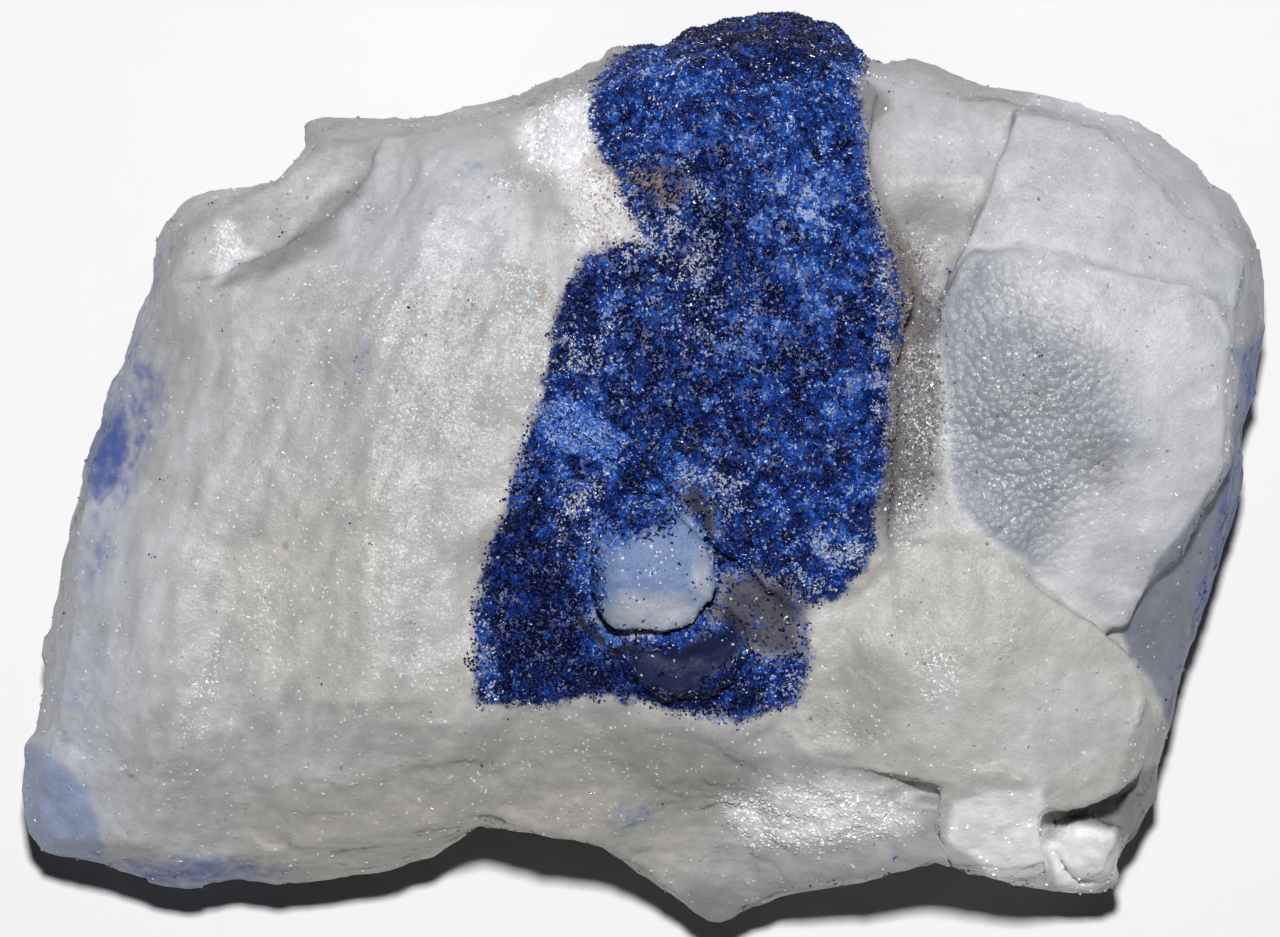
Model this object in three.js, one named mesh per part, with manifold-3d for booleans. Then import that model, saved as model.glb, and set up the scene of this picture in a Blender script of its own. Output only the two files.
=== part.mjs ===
// Dumortierite in quartz: a hand specimen of milky quartz with one blue granular vein across it.
// Millimetres, +Z up. X runs along the long way, +Y towards the end where the vein stands highest.
// The rock rests on the flat sole of its underside, at z = 0.
import * as THREE from "three";
import { mergeVertices } from "three/addons/utils/BufferGeometryUtils.js";
import Module from "manifold-3d";

// The rim is the widest slice of the rock, which narrows upwards and downwards from it
const RIM_HEIGHT = 5;
const NARROWING_ABOVE = 0.002; // share of the width lost in each millimetre above the rim
const NARROWING_BELOW = 0.014; // and in each millimetre below it, where the rock is undercut
const WALL_UNEVENNESS = 0.0035; // share of the width, for each millimetre away from the rim
const WALL_STEP = 1.5; // one of the wall's levels falls on the rim
const RIM_FADE = 6; // how far from the rim its small notches have gone and the flanks are plain faces

// The block the rock is shaped from
const BLOCK_LENGTH = 48;
const BLOCK_WIDTH = 35;
const BLOCK_BOTTOM = -5.5;
const BLOCK_TOP = 21.5;
const OVERLAP = 1.5; // how far shapes run past each other where they are joined or cut

// Spacing of the surface points
const TOP_SPACING = 1.0;
const UNDERSIDE_SPACING = 1.9;
const PLATE_SPACING = 1.3;

// Low swells of the broken surfaces
const TOP_SWELL = 0.13;
const UNDERSIDE_SWELL = 0.5;
const PLATE_SWELL = 0.07;
const PLATE_SWELL_FINENESS = 1.7;
const WALL_SWELL_FINENESS = 0.6;

// The swells are two crossed waves: how fast each runs along and across, and its share of the height
const SWELL_WAVES = [
  { along: [0.71, 0.43, 0.9], across: [-0.37, 0.52, 0.6], share: 0.6 },
  { along: [1.63, -1.17, 1.3], across: [0.83, 1.41, 0.4], share: 0.4 },
];

// How sharply one fracture face gives way to the next
const FACE_SHARPNESS = 2.6;
const FACE_SOFTNESS = 0.8;
const FACE_RISE = 2.5; // the most a face goes on rising or falling away from its point

// The rim seen from above, anticlockwise from the lower left corner
const RIM = [
  [-22.2, -14.2], [-19.6, -14.9], [-18.2, -15.4], [-16.7, -15.6], [-15.3, -15.3], [-13.5, -15.5],
  [-9.3, -15.0], [-7.8, -14.6], [-6.8, -14.0], [-6.0, -13.4], [-4.5, -13.5], [-1.4, -14.0],
  [-0.7, -14.6], [1.4, -15.8], [2.2, -16.5], [2.7, -16.8], [5.0, -15.8], [8.3, -15.4],
  [10.7, -14.4], [12.7, -15.0], [13.8, -15.5], [16.9, -15.8], [17.6, -15.4], [17.7, -14.6],
  [19.1, -12.3], [19.5, -9.9], [20.3, -6.7], [21.3, -4.0], [22.2, -0.9], [22.3, 0.4],
  [22.2, 1.4], [22.8, 2.7], [23.0, 5.4], [23.0, 6.7], [22.8, 8.0], [22.4, 9.1],
  [21.9, 10.2], [21.2, 10.5], [20.7, 11.3], [19.4, 12.2], [17.9, 13.1], [15.1, 13.7],
  [12.4, 14.2], [10.1, 15.1], [9.0, 14.8], [8.4, 15.1], [7.8, 15.9], [7.1, 16.5],
  [5.9, 16.8], [4.4, 16.8], [2.9, 16.5], [1.8, 16.2], [0.8, 15.6], [-1.1, 15.5],
  [-1.4, 15.0], [-3.6, 14.2], [-4.8, 13.6], [-7.5, 13.1], [-8.9, 12.9], [-12.0, 12.9],
  [-12.4, 12.7], [-12.6, 11.7], [-13.5, 10.5], [-15.9, 10.2], [-16.8, 9.8], [-17.6, 9.0],
  [-18.2, 6.2], [-19.9, 1.9], [-20.5, 0.4], [-21.0, -1.4], [-21.7, -4.6], [-22.3, -8.6],
  [-22.4, -9.9], [-22.8, -10.3], [-22.9, -12.0], [-22.8, -13.2],
];

// The flanks away from the rim, where they are a few plain faces
const FLANKS = [
  [-21.2, -13.2], [-6.2, -12.7], [2.6, -15.4], [16.9, -14.6], [21.8, -0.4], [22.2, 7.8],
  [17.2, 12.7], [8.4, 14.2], [4.6, 16.0], [-3.6, 13.4], [-12.2, 11.6], [-16.8, 8.6], [-20.6, -1.8],
];

// Fracture faces of the upper side: a point on each, its height there and how it rises along X and Y
const TOP_FACES = [
  // the broad left face, which falls away in a bevel to the left rim
  { at: [-5.5, 8.5], height: 12.9, slope: [0.08, -0.12] },
  { at: [-7.0, -1.0], height: 13.4, slope: [0.07, 0.02] },
  { at: [-7.5, -7.0], height: 12.9, slope: [0.05, 0.14] },
  { at: [-13.5, 2.5], height: 12.0, slope: [0.2, -0.03] },
  { at: [-14.8, -5.5], height: 11.5, slope: [0.2, 0.08] },
  { at: [-18.2, 2.5], height: 9.1, slope: [0.9, -0.2] },
  { at: [-20.0, -6.0], height: 9.3, slope: [0.75, -0.05] },
  { at: [-20.9, -12.0], height: 7.9, slope: [0.45, 0.3] },
  { at: [-15.0, -14.0], height: 7.6, slope: [0.1, 0.8] },
  { at: [-9.5, -12.6], height: 9.8, slope: [0.03, 0.55] },
  // the upper left shoulder and the grey band that leans back to the upper rim
  { at: [-15.8, 8.4], height: 10.4, slope: [0.15, -0.35] },
  { at: [-11.2, 11.2], height: 10.0, slope: [0.1, -0.3] },
  { at: [-5.5, 12.6], height: 10.6, slope: [0.08, -0.85] },
  { at: [-1.6, 13.0], height: 12.2, slope: [0.1, -0.7] },
  // the ground under the vein
  { at: [3.0, 12.0], height: 14.0, slope: [0, -0.25] },
  { at: [5.0, 15.6], height: 11.0, slope: [-0.1, -1.1] },
  { at: [3.0, 3.0], height: 14.0, slope: [0.02, 0] },
  { at: [-2.4, 0.6], height: 13.5, slope: [0.05, 0.1] },
  { at: [-3.8, -4.5], height: 12.6, slope: [0.02, 0.12] },
  { at: [2.0, -8.0], height: 12.3, slope: [0, 0.15] },
  { at: [8.6, 13.6], height: 11.6, slope: [-0.5, -0.5] },
  // the hollow right of the vein and the leaning facets above it
  { at: [10.2, 11.8], height: 11.4, slope: [-0.1, -0.45] },
  { at: [10.2, 8.2], height: 11.6, slope: [-0.02, 0.1] },
  { at: [9.9, 2.4], height: 13.1, slope: [0.05, -0.05] },
  { at: [10.0, -1.6], height: 12.9, slope: [0.05, 0] },
  // the right end: pale dome, slab and the steep flank under them
  { at: [16.0, 11.6], height: 11.0, slope: [0, -0.6] },
  { at: [16.0, 4.0], height: 12.0, slope: [-0.05, 0.02] },
  { at: [21.4, 7.0], height: 9.0, slope: [-1.1, -0.25] },
  { at: [21.7, 1.0], height: 8.6, slope: [-1.3, 0] },
  { at: [20.4, -3.6], height: 8.6, slope: [-1.35, 0.4] },
  { at: [19.0, -8.6], height: 7.6, slope: [-1.3, 0.3] },
  // the lower side, falling to the lower rim
  { at: [10.5, -7.0], height: 12.2, slope: [-0.06, 0.12] },
  { at: [-3.0, -11.8], height: 9.9, slope: [0.02, 0.55] },
  { at: [2.6, -14.8], height: 6.6, slope: [0, 0.75] },
  { at: [7.4, -13.2], height: 9.9, slope: [0.03, 0.85] },
  { at: [13.0, -13.8], height: 8.2, slope: [0.02, 0.5] },
  { at: [17.4, -13.4], height: 6.8, slope: [-0.4, 0.5] },
];

// Fracture faces of the underside: the way each one faces, how far out it starts, and how steeply it
// climbs from the sole towards the rim
const UNDERSIDE_FACES = [
  { bearing: 2, start: 12.5, climb: 0.34 },
  { bearing: 48, start: 11.5, climb: 0.5 },
  { bearing: 88, start: 7.6, climb: 0.5 },
  { bearing: 128, start: 9.2, climb: 0.36 },
  { bearing: 176, start: 14.0, climb: 0.36 },
  { bearing: 221, start: 13.0, climb: 0.34 },
  { bearing: 268, start: 7.4, climb: 0.52 },
  { bearing: 312, start: 11.0, climb: 0.42 },
];

// Shell-shaped scars broken out of the flanks and the underside: centre, radii and tilt about X and Y
const SCARS = [
  { at: [-9.5, -12.8, 0.2], radii: [7.0, 5.0, 3.9], tilt: [12, 4] },
  { at: [13.0, 13.0, 0.2], radii: [8.0, 5.0, 4.0], tilt: [-10, -4] },
  { at: [20.6, -4.0, 0.2], radii: [5.2, 7.5, 4.0], tilt: [4, 8] },
  { at: [-20.0, 1.5, 0.1], radii: [5.2, 7.0, 3.8], tilt: [3, -8] },
];

// Shallow steps broken down into the upper side: the outline, and the floor as a tilted plane
const STEPS = [
  {
    // the trough under the upper left shoulder of the left face
    outline: [
      [-20.0, 6.0], [-17.6, 6.6], [-15.6, 6.9], [-13.0, 8.0], [-10.8, 9.5], [-9.9, 10.9],
      [-9.4, 12.3], [-8.6, 14.5], [-20.0, 14.5],
    ],
    at: [-13.2, 9.2], height: 10.2, slope: [0.02, -0.22], dome: 0,
  },
  {
    // the darker band under the ledge along the lower side
    outline: [
      [-14.0, -12.3], [-11.5, -11.9], [-9.1, -11.1], [-6.0, -10.7], [-3.0, -10.0], [0, -9.4],
      [2.6, -9.9], [4.4, -11.3], [4.0, -18.0], [-14.0, -18.0],
    ],
    at: [-3.0, -12.2], height: 9.9, slope: [0.02, 0.7], dome: 0,
  },
];

// Plates and lumps that stand above the rest: the outline, the top as a domed and tilted plane, how
// far down the sides are seen, and how much wider (or, for the overhanging lump, narrower) it is there
const PLATES = [
  {
    // the body of the blue granular vein
    outline: [
      [-1.6, 14.0], [0, 15.1], [1.8, 15.9], [4.4, 16.4], [6.4, 16.3], [7.6, 15.4], [8.3, 13.6],
      [8.0, 11.7], [8.4, 9.9], [9.0, 8.2], [9.6, 6.2], [9.1, 4.0], [9.0, 1.4], [8.8, -0.9],
      [8.8, -2.7], [8.2, -4.0], [7.2, -4.9], [5.9, -5.1], [3.4, -3.0], [-2.4, 1.6], [-3.4, 3.0],
      [-3.0, 4.7], [-2.4, 6.5], [-1.5, 7.6], [-1.5, 10.2], [-1.9, 12.6],
    ],
    at: [4.0, 4.0], height: 15.3, slope: [0.01, 0], dome: 0.029, foot: 8, spread: 1.1,
  },
  {
    // the dome at the upper right, with a crisp ridge along its left side
    outline: [
      [13.9, 13.2], [13.4, 11.4], [12.8, 10.0], [12.1, 8.4], [11.3, 6.9], [13.0, 6.2], [17.0, 5.0],
      [22.0, 4.4],
      [22.6, 6.6], [22.0, 9.2], [20.6, 11.0], [17.8, 12.7], [15.1, 13.4],
    ],
    at: [16.6, 8.6], height: 12.8, slope: [-0.08, -0.13], dome: 0.036, foot: 7, spread: 1.06,
  },
  {
    // the pale slab in front of the dome
    outline: [
      [11.0, 6.0], [12.0, 7.7], [13.7, 7.8], [15.5, 7.5], [17.7, 6.9], [19.9, 6.6], [20.9, 6.0],
      [21.5, 4.8], [21.9, 3.2], [21.9, 1.6], [21.5, 0.4], [20.6, -1.2], [19.7, -2.9],
      [18.6, -4.2], [17.6, -5.7], [15.5, -5.6], [12.4, -3.6], [11.0, -1.6], [10.8, 0],
      [10.7, 2.5], [10.8, 4.6],
    ],
    at: [15.8, 2.4], height: 13.5, slope: [0, 0.06], dome: 0.02, foot: 7, spread: 1.06,
  },
  {
    // the beige plate at the lower right, whose outer edge hangs over the flank
    outline: [
      [5.9, -5.1], [8.5, -3.9], [11.4, -2.0], [13.5, -3.6], [15.5, -5.1], [17.4, -6.4],
      [18.1, -7.0], [18.5, -7.9], [18.8, -8.6], [19.3, -10.0], [19.1, -11.1], [17.7, -11.9],
      [16.1, -12.6], [14.8, -12.7], [12.5, -12.0], [9.6, -11.4], [6.6, -11.0], [4.4, -10.6],
      [5.2, -8.2],
    ],
    at: [11.6, -6.6], height: 13.1, slope: [0, 0.06], dome: 0.03, foot: 7.5, spread: 0.97,
  },
  {
    // the rounded pale lump in the vein, hanging over at its lower left
    outline: [
      [-2.1, -2.9], [-1.5, -2.1], [0, -1.0], [1.1, -0.9], [1.8, -1.8], [2.6, -2.7], [3.0, -4.0],
      [2.8, -4.9], [1.8, -5.6], [0, -6.2], [-1.1, -6.3], [-1.7, -5.7], [-2.1, -4.7],
    ],
    at: [0.5, -3.4], height: 16.0, slope: [0.02, 0.06], dome: 0.16, foot: 11.5, spread: 0.72,
  },
  {
    // the blue chip below it
    outline: [
      [-0.9, -6.4], [0.7, -5.4], [2.4, -5.2], [3.6, -5.9], [3.8, -6.8], [3.1, -7.7], [2.2, -8.3],
      [1.0, -8.3], [0, -7.6],
    ],
    at: [1.6, -6.8], height: 13.7, slope: [-0.02, 0.15], dome: 0.12, foot: 11, spread: 1.1,
  },
  {
    // the white block at the lower rim, with a crisp right side
    outline: [
      [11.0, -11.2], [13.3, -11.0], [14.7, -11.8], [14.6, -13.4], [14.9, -15.4], [13.8, -15.3],
      [12.7, -14.8], [11.4, -14.5], [10.8, -13.2],
    ],
    at: [13.0, -13.4], height: 11.0, slope: [0.06, 0.74], dome: 0.05, foot: 5, spread: 1.06,
  },
  {
    // the small tooth in the lower right corner
    outline: [
      [15.4, -13.3], [16.6, -13.0], [17.7, -13.4], [17.6, -14.4], [17.0, -15.2], [16.1, -15.0],
      [15.5, -14.3],
    ],
    at: [16.6, -14.0], height: 8.6, slope: [0, 0.4], dome: 0.3, foot: 4.5, spread: 1.2,
  },
];

const QUARTZ_COLOR = 0xb4b3b1;
const SOLID_TOLERANCE = 1e-4;
const SCAR_SEGMENTS = 14;
const SCAR_RINGS = 9;

const wasm = await Module();
wasm.setup();

// A closed geometry as a solid that can be joined and cut
function toSolid(geometry) {
  geometry.deleteAttribute("normal");
  geometry.deleteAttribute("uv");
  const merged = mergeVertices(geometry, SOLID_TOLERANCE);
  const mesh = new wasm.Mesh({
    numProp: 3,
    vertProperties: merged.attributes.position.array,
    triVerts: new Uint32Array(merged.index.array),
  });
  return new wasm.Manifold(mesh);
}

// A solid as a flat-shaded geometry
function toGeometry(solid) {
  const mesh = solid.getMesh();
  const geometry = new THREE.BufferGeometry();
  geometry.setAttribute("position", new THREE.BufferAttribute(mesh.vertProperties, 3));
  geometry.setIndex(new THREE.BufferAttribute(mesh.triVerts, 1));
  const faceted = geometry.toNonIndexed();
  faceted.computeVertexNormals();
  return faceted;
}

// Moves every vertex of a geometry to the place that move(x, y, z) gives
function reshape(geometry, move) {
  const position = geometry.getAttribute("position");
  for (let i = 0; i < position.count; i += 1) {
    position.setXYZ(i, ...move(position.getX(i), position.getY(i), position.getZ(i)));
  }
  return geometry;
}

// A smooth unevenness between -1 and 1, always the same at the same point
function swell(x, y, z) {
  const phase = ([a, b, c]) => a * x + b * y + c * z;
  return SWELL_WAVES.reduce((sum, wave) => {
    return sum + wave.share * Math.sin(phase(wave.along)) * Math.cos(phase(wave.across));
  }, 0);
}

// The height of the upper side at (x, y): nearby fracture faces count most
function topHeight(x, y) {
  let share = 0;
  let height = 0;
  for (const face of TOP_FACES) {
    const dx = x - face.at[0];
    const dy = y - face.at[1];
    const weight = 1 / (dx * dx + dy * dy + FACE_SOFTNESS) ** FACE_SHARPNESS;
    const rise = face.slope[0] * dx + face.slope[1] * dy;
    share += weight;
    height += weight * (face.height + THREE.MathUtils.clamp(rise, -FACE_RISE, FACE_RISE));
  }
  return height / share + TOP_SWELL * swell(x, y, 0);
}

// The height of the underside at (x, y): the sole at 0 and the faces that climb from it
function undersideHeight(x, y) {
  let height = 0;
  for (const face of UNDERSIDE_FACES) {
    const bearing = THREE.MathUtils.degToRad(face.bearing);
    const outwards = x * Math.cos(bearing) + y * Math.sin(bearing);
    const unevenness = UNDERSIDE_SWELL * swell(x, y, face.start);
    const climbed = face.climb * (outwards - face.start) + unevenness;
    height = Math.max(height, climbed);
  }
  return height;
}

// A domed and tilted plane at (x, y), for the plates and the steps
function planeHeight(plane, x, y) {
  const dx = x - plane.at[0];
  const dy = y - plane.at[1];
  const tilted = plane.height + plane.slope[0] * dx + plane.slope[1] * dy;
  const unevenness = swell(PLATE_SWELL_FINENESS * x, PLATE_SWELL_FINENESS * y, plane.height);
  return tilted - plane.dome * (dx * dx + dy * dy) + PLATE_SWELL * unevenness;
}

// A block whose upper surface follows upper(x, y) and whose lower surface follows lower(x, y)
function slab(length, width, at, spacing, lower, upper) {
  const columns = Math.ceil(length / spacing);
  const rows = Math.ceil(width / spacing);
  const geometry = new THREE.BoxGeometry(length, width, 1, columns, rows, 1);
  geometry.translate(at[0], at[1], 0);
  return toSolid(reshape(geometry, (x, y, z) => [x, y, z > 0 ? upper(x, y) : lower(x, y)]));
}

// An upright prism over an outline
function prism(outline, bottom, top, levels) {
  const shape = new THREE.Shape(outline.map(([x, y]) => new THREE.Vector2(x, y)));
  const options = { depth: top - bottom, steps: levels, bevelEnabled: false };
  const geometry = new THREE.ExtrudeGeometry(shape, options);
  geometry.translate(0, 0, bottom);
  return geometry;
}

// The middle and the size of an outline
function extentOf(outline) {
  const box = new THREE.Box2().setFromPoints(outline.map(([x, y]) => new THREE.Vector2(x, y)));
  return { middle: box.getCenter(new THREE.Vector2()), size: box.getSize(new THREE.Vector2()) };
}

// How far the plain flanks reach in the direction of (x, y), as a share of the way to that point
function flankShare(x, y) {
  let share = 1;
  FLANKS.forEach(([x1, y1], i) => {
    const [x2, y2] = FLANKS[(i + 1) % FLANKS.length];
    const turn = x * (y2 - y1) - y * (x2 - x1);
    const along = (x * -y1 + y * x1) / turn;
    const distance = (x1 * (y2 - y1) - y1 * (x2 - x1)) / turn;
    if (distance > 0 && along >= 0 && along <= 1) {
      share = distance;
    }
  });
  return share;
}

// How wide the rock is at a height, as a share of its width at the rim
function wallShare(x, y, z) {
  const above = Math.max(0, z - RIM_HEIGHT);
  const below = Math.max(0, RIM_HEIGHT - z);
  const fade = Math.min(1, (above + below) / RIM_FADE);
  const [sx, sy, sz] = [x, y, z].map((value) => value * WALL_SWELL_FINENESS);
  const unevenness = WALL_UNEVENNESS * (above + below) * Math.abs(swell(sx, sy, sz));
  const narrowing = NARROWING_ABOVE * above + NARROWING_BELOW * below + unevenness;
  return 1 - fade * (1 - flankShare(x, y)) - narrowing;
}

function makeWalls() {
  const levels = Math.round((BLOCK_TOP - BLOCK_BOTTOM) / WALL_STEP);
  const geometry = prism(RIM, BLOCK_BOTTOM, BLOCK_TOP, levels);
  return toSolid(
    reshape(geometry, (x, y, z) => {
      const share = wallShare(x, y, z);
      return [x * share, y * share, z];
    }),
  );
}

// The part of an outline's prism that lies under (or over) a domed and tilted plane
function pieceOf(piece, bottom, top, lower, upper) {
  const { middle, size } = extentOf(piece.outline);
  const spread = piece.spread ?? 1;
  const foot = piece.foot ?? bottom;
  const sides = reshape(prism(piece.outline, bottom, top, 1), (x, y, z) => {
    const share = z > foot ? 1 : spread;
    return [middle.x + (x - middle.x) * share, middle.y + (y - middle.y) * share, z];
  });
  const margin = 2 * PLATE_SPACING;
  const length = size.x * Math.max(spread, 1) + margin;
  const width = size.y * Math.max(spread, 1) + margin;
  const cover = slab(length, width, [middle.x, middle.y], PLATE_SPACING, lower, upper);
  return toSolid(sides).intersect(cover);
}

// A plate: what lies under its domed top
function makePlate(plate) {
  const below = () => plate.foot - OVERLAP;
  const above = (x, y) => planeHeight(plate, x, y);
  return pieceOf(plate, plate.foot, plate.height + OVERLAP, below, above);
}

// What a step takes away: all that stands over its floor
function makeStep(step) {
  const floor = (x, y) => planeHeight(step, x, y);
  const open = () => BLOCK_TOP;
  return pieceOf(step, 0, BLOCK_TOP - OVERLAP, floor, open);
}

function makeScar(scar) {
  const geometry = new THREE.SphereGeometry(1, SCAR_SEGMENTS, SCAR_RINGS);
  geometry.scale(...scar.radii);
  geometry.rotateX(THREE.MathUtils.degToRad(scar.tilt[0]));
  geometry.rotateY(THREE.MathUtils.degToRad(scar.tilt[1]));
  geometry.translate(...scar.at);
  return toSolid(geometry);
}

function makeRock() {
  const bottom = () => BLOCK_BOTTOM;
  const top = () => BLOCK_TOP - OVERLAP;
  const middle = [0, 0];
  const upperSide = slab(BLOCK_LENGTH, BLOCK_WIDTH, middle, TOP_SPACING, bottom, topHeight);
  const underside = slab(BLOCK_LENGTH, BLOCK_WIDTH, middle, UNDERSIDE_SPACING, undersideHeight, top);
  const walls = makeWalls();
  let rock = upperSide;
  STEPS.forEach((step) => {
    rock = rock.subtract(makeStep(step));
  });
  PLATES.forEach((plate) => {
    rock = rock.add(makePlate(plate));
  });
  rock = rock.intersect(walls).intersect(underside);
  SCARS.forEach((scar) => {
    rock = rock.subtract(makeScar(scar));
  });
  return rock;
}

const quartz = new THREE.MeshStandardMaterial({ color: QUARTZ_COLOR, roughness: 0.45 });
const rock = new THREE.Mesh(toGeometry(makeRock()), quartz);
rock.name = "dumortierite_specimen";

const group = new THREE.Group();
group.add(rock);

export default group;
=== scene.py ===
"""Looks of the dumortierite specimen: broken milky quartz, the blue granular vein, and their grains.

Places on the rock are in millimetres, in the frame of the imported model; meshes are in metres.
"""

import math
from collections import namedtuple

import bpy
import numpy as np
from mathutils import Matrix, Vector, noise


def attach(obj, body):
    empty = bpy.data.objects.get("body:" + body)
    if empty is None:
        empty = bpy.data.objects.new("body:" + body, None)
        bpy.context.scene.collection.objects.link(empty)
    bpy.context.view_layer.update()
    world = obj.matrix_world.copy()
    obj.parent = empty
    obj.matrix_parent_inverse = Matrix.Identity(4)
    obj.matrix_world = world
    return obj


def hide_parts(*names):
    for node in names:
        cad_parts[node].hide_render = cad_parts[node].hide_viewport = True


bl_info = {
    "name": "Dumortierite specimen",
    "version": (1, 0, 0),
    "blender": (4, 5, 0),
    "location": "View3D > Sidebar > Specimen",
    "description": "Finishes a packed rock as milky quartz with a blue granular vein",
    "category": "Object",
}

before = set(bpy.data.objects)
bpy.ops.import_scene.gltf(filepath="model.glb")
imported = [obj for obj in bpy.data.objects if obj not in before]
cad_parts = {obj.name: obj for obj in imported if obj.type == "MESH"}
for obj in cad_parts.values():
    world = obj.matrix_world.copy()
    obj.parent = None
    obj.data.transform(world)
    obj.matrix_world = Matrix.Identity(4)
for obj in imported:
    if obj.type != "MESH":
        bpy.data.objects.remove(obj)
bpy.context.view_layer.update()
ROCK_NODE = "dumortierite_specimen"
BODY = "root"
MM = 0.001

# The blue vein seen from above, anticlockwise from its upper left corner
VEIN_OUTLINE = (
    (-1.6, 14.3), (-1.9, 12.6), (-1.5, 11.4), (-1.0, 10.6), (-0.5, 9.5), (0.1, 8.4), (-1.1, 8.0),
    (-2.0, 7.6), (-2.7, 6.5), (-3.2, 5.0), (-3.6, 2.6), (-4.2, 1.1), (-4.8, -1.2), (-5.6, -3.2),
    (-6.0, -5.0), (-6.1, -7.2), (-5.9, -8.7), (-3.7, -8.7), (-1.5, -8.3), (0.0, -8.6), (2.0, -9.1),
    (4.0, -9.2), (5.6, -8.6), (6.2, -7.0), (6.0, -5.1), (7.0, -4.9), (8.0, -4.0), (8.6, -2.7),
    (8.5, -1.6), (9.0, 0.4), (8.9, 2.4), (9.2, 4.0), (9.6, 6.0), (9.0, 8.2), (8.4, 10.0), (8.1, 12.2),
    (7.9, 13.9), (8.4, 15.0), (7.4, 17.5), (2.0, 17.5), (-0.3, 15.4),
)
# What shows inside the vein: the pale lump, the clear quartz beside it, the dark blue chip, the
# painted shadow below the lump, and two brown hollows
LUMP = (
    (-2.3, -3.0), (-1.6, -2.1), (-0.1, -1.0), (1.1, -0.9), (1.8, -1.8), (2.6, -2.7), (3.0, -4.0),
    (2.8, -4.9), (1.9, -5.7), (0.9, -6.1), (0.0, -6.3), (-1.1, -6.3), (-1.7, -5.7), (-2.1, -4.7),
)
CLEAR_QUARTZ = (
    (3.0, -4.0), (4.4, -3.9), (5.6, -4.3), (5.9, -5.3), (5.7, -6.7), (4.4, -6.8), (3.3, -6.2),
    (2.6, -5.6), (2.8, -4.9),
)
CHIP = (
    (-0.8, -6.5), (0.7, -6.5), (2.0, -6.0), (3.2, -5.6), (3.8, -6.4), (3.3, -7.1), (2.5, -7.9),
    (1.8, -8.3), (0.9, -8.2), (0.1, -7.9), (-0.4, -7.2),
)
# A painted shadow: the near black that the lump casts below its lower left
LUMP_SHADOW = (
    (-2.2, -4.7), (-1.9, -5.7), (-1.1, -6.3), (0.2, -6.3), (0.0, -6.7), (-0.9, -6.9), (-1.7, -6.5),
    (-2.5, -5.7),
)
STAINED_HOLLOW = ((-0.5, 10.3), (-0.2, 11.1), (0.9, 11.3), (1.9, 10.5), (1.6, 9.6), (0.3, 9.4))
BROWN_HOLLOW = ((1.2, -0.5), (2.2, -0.7), (2.8, -2.0), (3.0, -3.4), (2.5, -2.8), (1.8, -1.8))
# The broken faces round the vein; the first outline is the border of the dome and the slab
DOME_STEP = (
    (11.2, 6.9), (12.1, 8.0), (13.2, 8.0), (14.3, 7.7), (16.0, 7.4), (16.7, 6.9), (18.0, 6.9),
    (18.9, 6.7), (20.2, 6.5), (20.8, 5.9), (21.1, 5.2), (21.5, 4.3),
)
DOME = (
    (14.8, 13.9), (14.0, 13.1), (13.7, 12.6), (13.4, 11.4), (12.8, 10.1), (12.1, 8.5), *DOME_STEP,
    (21.9, 4.3), (23.4, 4.9), (23.4, 8.0), (22.3, 10.6), (20.9, 11.9), (18.9, 13.2), (16.8, 14.0),
)
SLAB = (
    *DOME_STEP, (21.9, 3.6), (22.1, 2.6), (21.7, 1.8), (21.7, 1.1), (21.5, 0.4), (21.1, -0.5),
    (20.4, -1.5), (19.9, -2.0), (19.5, -2.6), (18.8, -3.4), (18.3, -4.9), (17.7, -6.0), (16.2, -4.9),
    (14.8, -4.0), (13.3, -3.1), (11.5, -1.6), (11.2, -0.4), (11.1, 2.1), (10.9, 4.3), (10.8, 6.3),
)
SLAB_PALE_SIDE = (
    (13.0, 8.1), (16.7, 7.1), (18.0, 7.0), (20.2, 6.6), (21.1, 5.2), (22.2, 2.6), (21.7, 0.4),
    (20.4, -1.5), (18.8, -3.4), (17.7, -6.0), (15.4, -4.7), (14.2, -3.7), (15.2, -2.5), (16.4, -1.7),
    (18.2, 0.4), (18.2, 1.8), (17.0, 3.6), (15.6, 4.8), (13.4, 6.0),
)
CORNER = (
    (21.5, 4.4), (22.2, 4.5), (23.4, 5.2), (23.4, 2.4), (22.5, 1.4), (22.1, 1.7), (22.2, 2.6),
    (21.9, 3.6),
)
FLANK = (
    (22.1, 2.3), (22.4, 1.7), (23.4, 1.4), (23.4, -3.4), (22.4, -6.8), (21.0, -10.1), (19.6, -10.4),
    (19.4, -9.2), (18.7, -7.8), (17.9, -6.9), (17.6, -6.0), (18.3, -4.9), (18.8, -3.4), (19.5, -2.6),
    (20.4, -1.5), (21.1, -0.5), (21.5, 0.4), (21.8, 1.4),
)
HOLLOW = (
    (8.7, 10.0), (10.2, 10.1), (11.5, 9.7), (12.5, 9.6), (11.2, 6.9), (10.8, 6.3), (10.3, 7.8),
    (9.1, 8.9),
)
LOBE = (
    (8.2, 12.1), (9.2, 12.7), (10.3, 12.2), (11.4, 11.4), (11.6, 10.0), (10.2, 10.2), (9.0, 10.1),
    (8.2, 11.2),
)
NOTCH = ((8.0, 14.2), (9.1, 13.7), (9.1, 13.1), (8.2, 12.4), (7.8, 13.2))
BAND = (
    (8.8, 9.3), (10.3, 7.8), (10.8, 6.2), (10.9, 4.3), (11.0, 1.3), (10.5, -0.5), (9.2, -1.7),
    (7.7, -1.2), (9.0, 1.8), (9.0, 5.5),
)
TROUGH = (
    (-9.7, 11.5), (-9.9, 10.2), (-10.4, 9.6), (-11.2, 8.8), (-11.9, 8.0), (-13.4, 7.0), (-14.8, 6.7),
    (-15.7, 6.5), (-14.9, 7.1), (-13.8, 7.5), (-13.0, 8.1), (-12.1, 9.0), (-11.6, 9.9), (-10.7, 10.9),
    (-9.9, 11.9),
)
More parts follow.
